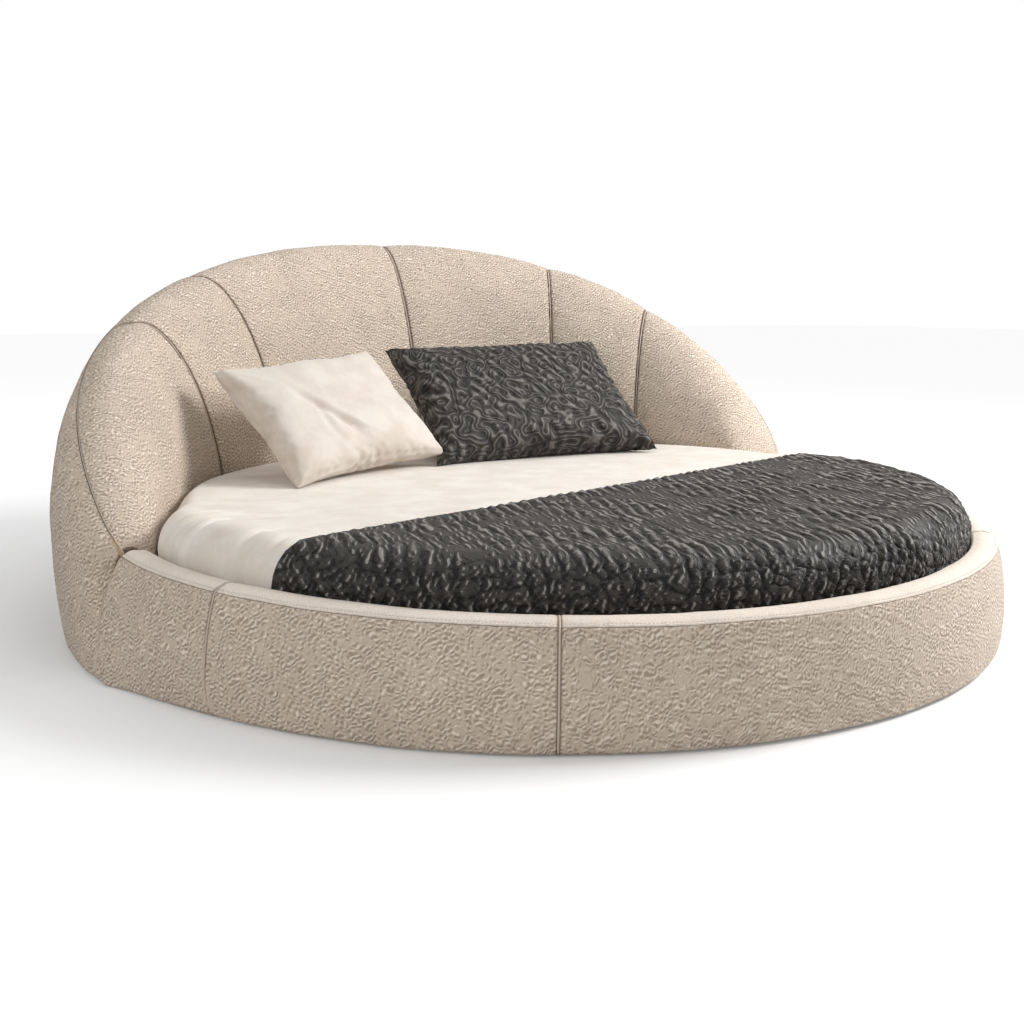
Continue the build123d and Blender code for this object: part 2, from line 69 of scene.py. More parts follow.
def emptyTree(owner):
    owner.use_nodes = True
    owner.node_tree.nodes.clear()
    return owner.node_tree


# Camera, light and floor

white = (1, 1, 1, 1)

cameraSettings = {
    "place": (-1.7474, -2.8290, 0.8409),
    "target": (-0.0856, 0.0494, 0.2573),
    "lens": 42.19,
    "sensor": 36.0,
}

studio = {
    "worldStrength": 0.32,
    "floorColor": (0.80, 0.80, 0.80, 1),
    "floorReach": 30,
    # the floor's own white grows from the bed to the far ground
    "liftFrom": 1.3, "liftTo": 4.0, "floorLift": 0.14, "farLift": 0.70,
    "softboxes": [
        # name, place, target, size, watts
        ("topBox", (0.4, 0.2, 4.2), (0.0, 0.0, 0.3), 3.4, 46),
        ("keyBox", (3.4, -1.6, 2.8), (0.0, 0.0, 0.4), 1.8, 220),
        ("fillBox", (-3.4, -2.0, 2.4), (0.0, 0.0, 0.3), 2.6, 48),
    ],
}


def makeCamera(settings):
    data = bpy.data.cameras.new("bedCamera")
    data.lens = settings["lens"]
    data.sensor_width = settings["sensor"]
    data.clip_end = 100
    camera = bpy.data.objects.new("bedCamera", data)
    camera.location = settings["place"]
    aim = Vector(settings["target"]) - Vector(settings["place"])
    camera.rotation_euler = aim.to_track_quat("-Z", "Y").to_euler()
    scene.collection.objects.link(camera)
    scene.camera = camera


def makeLights(settings):
    for name, place, target, size, watts in settings["softboxes"]:
        data = bpy.data.lights.new(name, "AREA")
        data.shape = "SQUARE"
        data.size = size
        data.energy = watts
        lamp = bpy.data.objects.new(name, data)
        lamp.location = place
        lamp.rotation_euler = (Vector(target) - Vector(place)).to_track_quat("-Z", "Y").to_euler()
        scene.collection.objects.link(lamp)
    world = bpy.data.worlds.new("studioWorld")
    scene.world = world
    tree = emptyTree(world)
    soft, seen = (addNode(tree, "ShaderNodeBackground", {"Color": white, "Strength": strength})
                  for strength in (settings["worldStrength"], 1.0))
    ray = addNode(tree, "ShaderNodeLightPath")
    pick = addNode(tree, "ShaderNodeMixShader",
                   {0: ray.outputs["Is Camera Ray"], 1: soft.outputs[0], 2: seen.outputs[0]})
    addNode(tree, "ShaderNodeOutputWorld", {"Surface": pick.outputs[0]})


def makeFloor(settings):
    mesh = bpy.data.meshes.new("studioFloor")
    reach = settings["floorReach"]
    corners = [(-reach, -reach, 0), (reach, -reach, 0), (reach, reach, 0), (-reach, reach, 0)]
    mesh.from_pydata(corners, [], [(0, 1, 2, 3)])
    floor = bpy.data.objects.new("studioFloor", mesh)
    scene.collection.objects.link(floor)
    material = bpy.data.materials.new("paleFloor")
    tree = emptyTree(material)
    place = addNode(tree, "ShaderNodeTexCoord")
    away = addNode(tree, "ShaderNodeVectorMath", {0: place.outputs["Object"]}, operation="LENGTH")
    grow = addNode(tree, "ShaderNodeMapRange", {
        0: away.outputs["Value"], 1: settings["liftFrom"], 2: settings["liftTo"],
        3: settings["floorLift"], 4: settings["farLift"]})
    ray = addNode(tree, "ShaderNodeLightPath")
    seen = ray.outputs["Is Camera Ray"]
    for kind in ("Is Glossy Ray", "Is Transmission Ray"):
        seen = calc(tree, "MAXIMUM", seen, ray.outputs[kind])
    lift = addNode(tree, "ShaderNodeEmission",
                   {"Color": white, "Strength": calc(tree, "MULTIPLY", seen, grow.outputs[0])})
    base = addNode(tree, "ShaderNodeBsdfDiffuse", {"Color": settings["floorColor"]})
    both = addNode(tree, "ShaderNodeAddShader", {0: base.outputs[0], 1: lift.outputs[0]})
    addNode(tree, "ShaderNodeOutputMaterial", {"Surface": both.outputs[0]})
    mesh.materials.append(material)


makeCamera(cameraSettings)
makeLights(studio)
makeFloor(studio)
print("stage: camera, lights and floor")


# Small helpers for smooth random fields and meshes

def spots(x, y, z):
    # places for the noise, where any of the three may be a plain number
    return np.stack(np.broadcast_arrays(x, y, z), axis=-1)


def softNoise(points, size, seed):
    # smooth random field between -1 and 1, with hills about one size apart
    table = np.random.default_rng(seed).uniform(-1, 1, (24, 24, 24))
    place = np.asarray(points, float) / size
    base = np.floor(place).astype(int)
    part = place - base
    part = part * part * (3 - 2 * part)
    total = np.zeros(place.shape[:-1])
    for corner in itertools.product((0, 1), repeat=3):
        index = (base + np.array(corner)) % 24
        weight = np.prod(np.where(np.array(corner) == 1, part, 1 - part), axis=-1)
        total += weight * table[index[..., 0], index[..., 1], index[..., 2]]
    return total


def cellField(u, v, size, seed):
    # distances to the nearest and second nearest of scattered points, in cell sizes
    table = np.random.default_rng(seed).uniform(0.08, 0.92, (64, 64, 2))
    x, y = u / size, v / size
    baseX, baseY = np.floor(x).astype(int), np.floor(y).astype(int)
    first = np.full(x.shape, 9.0)
    second = np.full(x.shape, 9.0)
    for dx, dy in itertools.product((-1, 0, 1), repeat=2):
        cellX, cellY = baseX + dx, baseY + dy
        spot = table[cellX % 64, cellY % 64]
        distance = np.hypot(cellX + spot[..., 0] - x, cellY + spot[..., 1] - y)
        second = np.where(distance < first, first, np.minimum(second, distance))
        first = np.minimum(first, distance)
    return first, second


def makeWaves(seed, count, shortest, longest, heading=0.0, spread=180.0,
              a=(1, 0, 0), b=(0, 1, 0), tilt=0.0):
    # plane waves of nearly one length; added up they make wandering folds with forks and ends
    dice = np.random.default_rng(seed)
    waves = []
    for _ in range(count):
        turn = math.radians(heading + dice.uniform(-spread, spread))
        way = np.array(a) * math.cos(turn) + np.array(b) * math.sin(turn)
        way = way + tilt * dice.uniform(-1, 1) * np.array((0, 0, 1))
        way = way * 2 * math.pi / dice.uniform(shortest, longest)
        waves.append((way, dice.uniform(0, 2 * math.pi)))
    return waves


def waveSum(points, waves):
    return sum(np.sin(points @ way + start) for way, start in waves) / math.sqrt(len(waves) / 2)


def smoothStep(low, high, value):
    t = np.clip((value - low) / (high - low), 0, 1)
    return t * t * (3 - 2 * t)


def roundOff(distance, reach):
    # 1 at an edge, falling to 0 along a quarter circle
    near = 1 - np.clip(distance / reach, 0, 1)
    return 1 - np.sqrt(np.clip(1 - near ** 2, 0, 1))


def circleThrough(a, b, c):
    # middle of the circle through three points in the plane
    (ax, ay), (bx, by), (cx, cy) = a, b, c
    d = 2 * (ax * (by - cy) + bx * (cy - ay) + cx * (ay - by))
    sa, sb, sc = ax * ax + ay * ay, bx * bx + by * by, cx * cx + cy * cy
    return np.array([sa * (by - cy) + sb * (cy - ay) + sc * (ay - by),
                     sa * (cx - bx) + sb * (ax - cx) + sc * (bx - ax)]) / d


def arcThrough(a, b, c, count):
    # points of the circle's arc from a through b to c, in the plane
    middle = circleThrough(a, b, c)
    start, via, end = (math.atan2(*(np.array(p) - middle)[::-1]) for p in (a, b, c))
    turn = (end - start) % (2 * math.pi)
    if (via - start) % (2 * math.pi) > turn:
        turn -= 2 * math.pi
    turns = start + turn * np.linspace(0, 1, count)
    ways = np.stack([np.cos(turns), np.sin(turns)], axis=-1)
    return (middle + math.dist(a, middle) * ways).tolist()


def lineLength(points):
    # distance from the first point along a line of points
    return np.concatenate([[0], np.cumsum(np.linalg.norm(np.diff(points, axis=0), axis=1))])


def addPiece(name, mesh, material, body):
    mesh.polygons.foreach_set("use_smooth", [True] * len(mesh.polygons))
    mesh.materials.append(material)
    piece = bpy.data.objects.new(name, mesh)
    scene.collection.objects.link(piece)
    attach(piece, body)
    return piece


def fillMesh(mesh, work):
    # puts the worked faces into the mesh, all facing outwards
    bmesh.ops.recalc_face_normals(work, faces=work.faces)
    work.to_mesh(mesh)
    work.free()
    return mesh


def makeMesh(name, points, faces, material, body):
    mesh = bpy.data.meshes.new(name)
    mesh.from_pydata(np.asarray(points, float).reshape(-1, 3).tolist(), [], faces)
    mesh.validate()
    work = bmesh.new()
    work.from_mesh(mesh)
    return addPiece(name, fillMesh(mesh, work), material, body)


def setAttribute(piece, name, values):
    layer = piece.data.attributes.new(name, "FLOAT", "POINT")
    layer.data.foreach_set("value", np.asarray(values, np.float32).ravel())


def loopFaces(columns, rows):
    # quads round a closed loop of rows points, along columns sections, with a cap at both ends
    faces = [(i * rows + j, i * rows + k, (i + 1) * rows + k, (i + 1) * rows + j)
             for i in range(columns - 1) for j, k in zip(range(rows), [*range(1, rows), 0])]
    last = (columns - 1) * rows
    return faces + [tuple(range(rows)), tuple(range(last + rows - 1, last - 1, -1))]


def ringFaces(columns, rows):
    # quads over a grid whose columns go once round
    return [(i * rows + j, k * rows + j, k * rows + j + 1, i * rows + j + 1)
            for i, k in zip(range(columns), [*range(1, columns), 0]) for j in range(rows - 1)]


def hubFaces(columns, rows, row, hub):
    # triangles from one row of such a grid to a point in its middle
    return [(hub, i * rows + row, ((i + 1) % columns) * rows + row) for i in range(columns)]


def unit(vectors):
    return vectors / np.maximum(np.linalg.norm(vectors, axis=-1, keepdims=True), 1e-9)


def loopNormals(grid):
    # outward directions of a grid of points, by differences along both ways
    along = np.gradient(grid, axis=0)
    around = np.roll(grid, -1, axis=1) - np.roll(grid, 1, axis=1)
    return unit(np.cross(along, around))


def outwardNormals(grid, row):
    # the same, turned so that the given row faces away from the bed's middle
    normal = loopNormals(grid)
    outward = (normal[:, row, :2] * grid[:, row, :2]).sum(-1).mean()
    return normal if outward > 0 else -normal


# Headboard: an upright ring of padding that falls to an arm on each side. Angles run from the
# head towards +X, in degrees, and everything else is in metres.

headboard = {
    "leftEnd": -92.5, "rightEnd": 74.5,
    "armHeight": 0.290, "height": 1.030,
    "leftFall": 1.79, "rightFall": 2.38, "fallRoot": 1.33,
    "crestRadius": 1.154,
    "backRadius": 1.312, "backEndRadius": 1.215, "swellPower": 14, "leftSwell": 14, "leftRoot": 0.62,
    "bulgeHeight": 0.205, "backTuck": 0.025, "bottom": 0.004,
    "faceCircle": 1.075, "faceShift": 0.145, "armFace": 1.108, "faceTop": 0.350, "padBottom": 0.157,
    "straightShare": 0.6, "facePower": 1.78, "backPower": 2.76,
    "partingShare": 0.48,
    "boardRadius": 1.119, "crestFoam": 0.100, "backFoam": 0.054,
    "facePuff": 0.020, "crestPuff": 0.010,
    # each channel seam's angle at the foot of the face and at the crest
    "seams": [(-92.5, -92.5), (-49.1, -57.1), (-30.3, -37.9), (3.5, 1.1), (33.0, 31.5),
              (50.2, 49.6), (74.5, 74.5)],
    "seamGap": 0.0014,
    "endPull": 0.52, "endFall": 0.024, "endRound": 0.034, "pullFrom": 0.165, "pullTo": 0.245,
    "columnStep": 0.0062,
    "faceRows": 104, "crestRows": 24, "backRows": 64, "skirtRows": 30,
}


def endShare(angle, board):
    end = np.where(angle < 0, board["leftEnd"], board["rightEnd"])
    return np.clip(angle / end, 0, 1)


def crestHeight(angle, board):
    power = np.where(angle < 0, board["leftFall"], board["rightFall"])
    fall = (1 - endShare(angle, board) ** power) ** (1 / board["fallRoot"])
    return board["armHeight"] + (board["height"] - board["armHeight"]) * fall


def backRadius(angle, board):
    share = endShare(angle, board)
    left = np.maximum(0, 1 - share ** board["leftSwell"]) ** board["leftRoot"]
    swell = np.where(angle < 0, left, np.sqrt(np.maximum(0, 1 - share ** board["swellPower"])))
    return board["backEndRadius"] + (board["backRadius"] - board["backEndRadius"]) * swell


def faceRadius(angle, board):
    # the face is an off-centre circle that runs out to the arm at the left end
    turn = np.radians(angle)
    reach = np.sqrt(board["faceCircle"] ** 2 - (board["faceShift"] * np.sin(turn)) ** 2)
    onCircle = reach - board["faceShift"] * np.cos(turn)
    share = np.clip(angle / board["leftEnd"], 0, 1) ** board["swellPower"]
    return onCircle + (board["armFace"] - onCircle) * share


def facePoint(angle, share, puff, board):
    # share 0 is the foot of the hollow face, 1 the crest
    turn = np.pi / 2 * share
    crest = crestHeight(angle, board) + puff * board["crestPuff"]
    straight = board["padBottom"] + board["straightShare"] * (crest - board["padBottom"])
    foot = np.minimum(board["faceTop"], straight)
    near = faceRadius(angle, board) - puff * board["facePuff"]
    power = 2 / board["facePower"]
    radius = board["crestRadius"] - (board["crestRadius"] - near) * np.cos(turn) ** power
    return radius, foot + (crest - foot) * np.sin(turn) ** power


def backPoint(angle, turn, puff, board):
    # turn 0 is the crest, a quarter turn the widest place
    power = 2 / board["backPower"]
    crest = crestHeight(angle, board) + puff * board["crestPuff"]
    share = np.sin(turn) ** power
    radius = board["crestRadius"] + (backRadius(angle, board) - board["crestRadius"]) * share
    rise = np.maximum(0, np.cos(turn)) ** power
    return radius, board["bulgeHeight"] + (crest - board["bulgeHeight"]) * rise


partingTurn = math.asin(headboard["partingShare"] ** (headboard["backPower"] / 2))


def ringPoints(radius, angle, height):
    turn = np.radians(angle)
    return np.stack([radius * np.sin(turn), radius * np.cos(turn), height + 0 * radius], axis=-1)


def evenEnds(count, crowd):
    # shares from 0 to 1 that stand closer at both ends
    q = np.linspace(0, 1, count)
    return q - crowd * np.sin(2 * np.pi * q) / (2 * np.pi)


def lengthAcross(grid):
    # distance over the surface from the first section, for every point
    step = np.linalg.norm(np.diff(grid, axis=0), axis=-1)
    return np.concatenate([np.zeros((1, grid.shape[1])), np.cumsum(step, axis=0)])


def roundedEnd(angle, radius, height, board):
    # both ends round in and down to the lower rails that they meet
    fromEnd = np.radians(np.minimum(angle - board["leftEnd"], board["rightEnd"] - angle))
    level = smoothStep(board["pullFrom"], board["pullTo"], height)
    pull = roundOff(fromEnd * board["crestRadius"], board["endRound"]) * level
    radius = radius + (board["crestRadius"] - radius) * board["endPull"] * pull
    return radius, height - board["endFall"] * pull


seamForm = {"gatherWidth": 0.011, "gatherLength": 0.05, "gatherReach": 0.026,
            "partingReach": 0.010, "partingDepth": 0.0020}


def seamPucker(along, distance, seed):
    # short gathers that run away from a seam and die out
    points = spots(along / seamForm["gatherWidth"], distance / seamForm["gatherLength"], seed * 3.7)
    coarse = softNoise(points, 1.0, 11 + seed)
    fine = softNoise(points * np.array([2.1, 1.3, 1.0]), 1.0, 31 + seed)
    return (coarse + 0.5 * fine) * np.exp(-distance / seamForm["gatherReach"])


def paddedRelief(grid, seams, form):
    # gathers beside each seam, soft swells all over and a groove along the seams
    lift = sum(form["pucker"] * seamPucker(along, distance, seed) for along, distance, seed in seams)
    lift += sum(high * softNoise(grid, size, seed) for high, size, seed in form["swells"])
    nearest = np.minimum.reduce([distance for _, distance, _ in seams])
    return lift - form["grooveDepth"] * np.exp(-(nearest / form["grooveWidth"]) ** 2)


def partingBlend(lift, distance):
    # both covers come down to one level in the seam behind the crest
    far = 1 - np.exp(-distance / seamForm["partingReach"])
    return lift * far - seamForm["partingDepth"] * (1 - far)


channelForm = {
    "crowd": 0.55, "puffPower": 2.8, "puffRoot": 0.62,
    "lowRows": 4, "slopeRows": 5, "wallRows": 6, "lowShow": 0.4, "boardGap": 0.001,
    "pucker": 0.0016, "swells": [(0.0022, 0.12, 5), (0.0009, 0.035, 6)],
    "grooveDepth": 0.0030, "grooveWidth": 0.005,
    "outerShade": 0.0025, "innerShade": 0.0065,
}


def buildChannel(number, board, form, material):
    (footA, crestA), (footB, crestB) = board["seams"][number - 1], board["seams"][number]
    columns = int(math.radians(crestB - crestA) * board["crestRadius"] / board["columnStep"])
    s = evenEnds(columns, form["crowd"])
    faceShare = np.linspace(0, 1, board["faceRows"])
    crestTurn = np.linspace(0, partingTurn, board["crestRows"])[1:]
    fan = np.concatenate([np.zeros(form["lowRows"]), faceShare,
                          np.ones(len(crestTurn) + form["slopeRows"]),
                          np.linspace(1, 0, form["wallRows"])])
    gap = math.degrees(board["seamGap"] / board["crestRadius"])
    startAngle = footA + (crestA - footA) * fan + gap
    endAngle = footB + (crestB - footB) * fan - gap
    angle = startAngle[None, :] + (endAngle - startAngle)[None, :] * s[:, None]
    puff = (1 - np.abs(2 * s - 1) ** form["puffPower"])[:, None] ** form["puffRoot"]

    rows = len(fan)
    face = slice(form["lowRows"], form["lowRows"] + len(faceShare))
    upper = slice(face.stop, face.stop + len(crestTurn))
    slope = slice(upper.stop, upper.stop + form["slopeRows"])
    radius, height = np.zeros((columns, rows)), np.zeros((columns, rows))
    radius[:, face], height[:, face] = facePoint(angle[:, face], faceShare[None, :], puff, board)
    fade = puff * np.linspace(1, 0, len(crestTurn))[None, :]
    radius[:, upper], height[:, upper] = backPoint(angle[:, upper], crestTurn[None, :], fade, board)
    foot, bottom = height[:, face.start], board["padBottom"]
    inner = board["boardRadius"] - form["boardGap"]
    t = np.linspace(0, 1, face.start + 1)[None, :-1]
    radius[:, :face.start] = radius[:, face.start:face.start + 1]
    height[:, :face.start] = bottom + (foot[:, None] - bottom) * t
    t = np.linspace(0, 1, form["slopeRows"] + 1)[None, 1:]
    coreTop = crestHeight(angle[:, slope], board) - board["crestFoam"]
    radius[:, slope] = radius[:, upper.stop - 1:upper.stop] * (1 - t) + inner * t
    height[:, slope] = height[:, upper.stop - 1:upper.stop] * (1 - t) + coreTop * t
    t = np.linspace(0, 1, form["wallRows"] + 1)[None, 1:]
    radius[:, slope.stop:] = inner
    height[:, slope.stop:] = height[:, slope.stop - 1:slope.stop] * (1 - t) + bottom * t
    radius, height = roundedEnd(angle, radius, height, board)
    grid = ringPoints(radius, angle, height)

    show = np.zeros(rows)
    show[face.start:upper.stop] = 1
    show[:face.start] = form["lowShow"]
    along = np.broadcast_to(lineLength(grid[columns // 2])[None, :], (columns, rows))
    fromStart = lengthAcross(grid)
    fromEnd = fromStart[-1:] - fromStart
    lift = paddedRelief(grid, [(along, fromStart, number), (along, fromEnd, number + 9)], form)
    lift = partingBlend(lift, np.abs(along - along[:, upper.stop - 1:upper.stop]))
    normal = loopNormals(grid)
    if normal[:, face.stop, 2].mean() < 0:
        normal = -normal
    grid = grid + normal * (lift * show[None, :])[..., None]
    piece = makeMesh(f"channelCover{number}", grid, loopFaces(columns, rows), material, "base")
    last = len(board["seams"]) - 1
    startShade = np.exp(-fromStart / form["outerShade" if number == 1 else "innerShade"])
    endShade = np.exp(-fromEnd / form["outerShade" if number == last else "innerShade"])
    setAttribute(piece, "seamShade", np.maximum(startShade, endShade))
    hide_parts(f"headboard_channel_{number}")


leftEndShape = {"end": -92.5, "slant": 5.5, "slantReach": 11.0, "slantTop": 0.205, "slantPower": 1.6,
                "flare": 0.072, "flareReach": 14.0, "flareTop": 0.2675}


def leftSlant(angle, height, shape):
    # the seam at the left end leans outwards below the widest line
    low = np.clip((shape["slantTop"] - height) / shape["slantTop"], 0, 1) ** shape["slantPower"]
    return shape["slant"] * low * np.exp(-np.abs(angle - shape["end"]) / shape["slantReach"])


def leftFlare(angle, height, shape):
    # the padding spreads toward the floor beside that seam
    low = np.clip(1 - height / shape["flareTop"], 0, 1)
    return shape["flare"] * low * np.exp(-np.maximum(shape["end"] - angle, 0) / shape["flareReach"])


backForm = {
    "columnStep": 0.0072, "crowd": 0.90,
    "hem": 0.012, "hemFrom": 0.94, "hemUnder": 0.02,
    # toward the left end the skirt spreads to this radius
    "endReach": 10.0, "spreadRadius": 1.272, "spreadMore": 0.018, "spreadReach": 4.0,
    "spreadPower": 1.3,
    "innerDrop": 0.15, "lowShow": 0.3,
    "pucker": 0.0017, "swells": [(0.0030, 0.16, 7), (0.0011, 0.045, 8)],
    "grooveDepth": 0.0035, "grooveWidth": 0.006,
    "endShade": 0.0030, "partingShade": 0.0035,
}


def buildBackCover(board, form, material):
    length = math.radians(board["rightEnd"] - board["leftEnd"]) * board["backRadius"]
    columns = int(length / form["columnStep"])
    share = evenEnds(columns, form["crowd"])
    gap = math.degrees(board["seamGap"] / board["backRadius"])
    angle = (board["leftEnd"] + gap + (board["rightEnd"] - board["leftEnd"] - 2 * gap) * share)[:, None]
    turns = np.linspace(partingTurn, math.pi / 2, board["backRows"])
    outerRadius, outerHeight = backPoint(angle, turns[None, :], 0, board)
    back = backRadius(angle, board)
    t = np.linspace(0, 1, board["skirtRows"] + 1)[None, 1:]
    skirtHeight = board["bulgeHeight"] + (board["bottom"] - board["bulgeHeight"]) * t
    hem = form["hem"] * np.maximum(0, (t - form["hemFrom"]) / (1 - form["hemFrom"])) ** 2
    nearEnd = np.exp(-(angle - board["leftEnd"]) / form["endReach"])
    more = np.clip((angle - board["leftEnd"]) / form["spreadReach"], 0, 1)
    spread = form["spreadRadius"] + form["spreadMore"] * more
    skirtRadius = (back - board["backTuck"] * t ** 2 * (1 - nearEnd)
                   + (spread - back) * t ** form["spreadPower"] * nearEnd - hem)
    inner = back - board["backFoam"]
    parting, drop = outerHeight[:, :1], form["innerDrop"]
    inRadius = np.concatenate([skirtRadius[:, -1:] - form["hemUnder"], inner, inner, inner,
                               inner * 0.5 + outerRadius[:, :1] * 0.5], axis=1)
    bottom = np.full_like(inner, board["bottom"])
    inHeight = np.concatenate([bottom, bottom, (parting - drop) * 0.5 + bottom * 0.5,
                               parting - drop, parting - drop / 2], axis=1)
    radius = np.concatenate([outerRadius, skirtRadius, inRadius], axis=1)
    height = np.concatenate([outerHeight, skirtHeight + 0 * back, inHeight], axis=1)
    rows = radius.shape[1]
    shown = board["backRows"] + board["skirtRows"]
    outer = (np.arange(rows) < shown)[None, :]
    slanted = angle - leftSlant(angle, height, leftEndShape) * outer
    rounded = roundedEnd(angle, radius, height, board)
    radius, height = np.where(outer, rounded[0], radius), np.where(outer, rounded[1], height)
    grid = ringPoints(radius, slanted, height)

    show = np.zeros(rows)
    show[:shown] = 1
    show[shown - 2:shown] = form["lowShow"]
    down = np.broadcast_to(lineLength(grid[columns // 2])[None, :], (columns, rows))
    around = np.broadcast_to(np.radians(angle) * board["backRadius"], (columns, rows))
    fromLeft = lengthAcross(grid)
    fromRight = fromLeft[-1:] - fromLeft
    seams = [(around, down, 21), (down, fromLeft, 22), (down, fromRight, 23)]
    lift = partingBlend(paddedRelief(grid, seams, form), down)
    normal = outwardNormals(grid, board["backRows"])
    grid = grid + normal * (lift * show[None, :])[..., None]
    piece = makeMesh("backCover", grid, loopFaces(columns, rows), material, "base")
    ends = np.exp(-np.minimum(fromLeft, fromRight) / form["endShade"])
    setAttribute(piece, "seamShade", np.maximum(ends, np.exp(-down / form["partingShade"])))
    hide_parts("headboard_back_pad")


# Rails: padded sections round the ring, with a flat top band sewn on along the seam.

rails = {
    "cuts": [-92.5, -113.3, -149.5, -224.0, -260.2, -285.5],
    "names": ["rear_left", "left", "front", "right", "rear_right"],
    "lean": 1.07,
    "seamHeight": 0.2675, "bottom": 0.003,
    "outerArc": [(1.193, -0.285), (1.205, -0.140), (1.180, 0.0)],
    "crown": 0.009, "innerRadius": 1.115, "edgeRound": 0.012,
    "boardInner": 1.1185, "boardOuter": 1.1555, "boardTop": -0.0185, "flapDepth": 0.110,
    "seamGap": 0.0014, "endRound": 0.010, "endDrop": 0.0050, "stitchRow": 0.0085,
    "columnStep": 0.0064, "crowd": 0.80, "middleRadius": 1.19, "footRadius": 1.195,
    # where the wall curls under at its foot, and where its rows crowd toward the seam
    "curl": 0.011, "curlShare": 0.04, "seamShare": 0.90,
    "endPucker": 0.0012, "seamPucker": 0.0013, "swell": 0.0022, "fineSwell": 0.0007,
    # across the seam: offset from it, height and width of each groove or bead
    "seamRelief": [(0.0, -0.0026, 0.0026), (0.0085, -0.0014, 0.0022), (0.0045, 0.0010, 0.0028)],
    "cutShade": 0.0055, "seamShade": (0.62, 0.0022), "stitchShade": (0.34, 0.0030),
}

stitchPaths = []       # one line of points along each section's band, for the stitches


def railFrame(settings):
    lean = math.radians(settings["lean"])
    middle = np.array([0, 0, settings["seamHeight"]])
    towardHead = np.array([0, math.cos(lean), math.sin(lean)])
    axis = np.array([0, -math.sin(lean), math.cos(lean)])
    return middle, np.array([1.0, 0, 0]), towardHead, axis


def railPoints(radius, angle, height, settings):
    middle, across, towardHead, axis = railFrame(settings)
    turn = np.radians(angle)[..., None]
    return (middle + radius[..., None] * (np.sin(turn) * across + np.cos(turn) * towardHead)
            + height[..., None] * axis)


def outerArcRadius(height, settings):
    x, y = circleThrough(*settings["outerArc"])
    ax, ay = settings["outerArc"][0]
    return x + np.sqrt((ax - x) ** 2 + (ay - y) ** 2 - (height - y) ** 2)


def railTopProfile(settings):
    # from the seam over the band and the inner edge to the foot of the flap
    seam = settings["outerArc"][2]
    inner, edge, crown = settings["innerRadius"], settings["edgeRound"], settings["crown"]
    bandEnd = (inner + edge, crown)
    corner = edge * (1 - math.sqrt(0.5))
    band = arcThrough(seam, ((seam[0] + bandEnd[0]) / 2, crown + 0.002), bandEnd, 26)
    lip = arcThrough(bandEnd, (inner + corner, crown - corner), (inner, crown - edge), 9)
    flap = [(inner, -0.02), (inner, -0.05), (inner, -settings["flapDepth"])]
    inside = [(settings["boardInner"], -settings["flapDepth"]),
              (settings["boardInner"], settings["boardTop"]),
              (settings["boardOuter"], settings["boardTop"])]
    return band[1:] + lip[1:] + flap, inside


def railGrid(angle, settings):
    # radius and height of every section, the number of rows up to the seam, and of those that show
    top, inside = railTopProfile(settings)
    curl, crowded = settings["curlShare"], settings["seamShare"]
    share = np.concatenate([np.linspace(0, curl, 6)[:-1], np.linspace(curl, crowded, 34)[:-1],
                            np.linspace(crowded, 1, 18)])[None, :]
    lean = math.radians(settings["lean"])
    rise = settings["footRadius"] * np.cos(np.radians(angle)) * math.sin(lean)
    low = ((settings["bottom"] - settings["seamHeight"] - rise) / math.cos(lean))[:, None]
    wallHeight = low * (1 - share)
    wallRadius = outerArcRadius(wallHeight, settings)
    wallRadius = wallRadius - settings["curl"] * np.maximum(0, 1 - share / curl) ** 2
    line = np.array(top + inside)
    shape = (len(angle), len(line))
    radius = np.concatenate([wallRadius, np.broadcast_to(line[:, 0], shape),
                             np.full_like(low, settings["boardOuter"])], axis=1)
    height = np.concatenate([wallHeight, np.broadcast_to(line[:, 1], shape), low], axis=1)
    return radius, height, share.size, share.size + len(top)


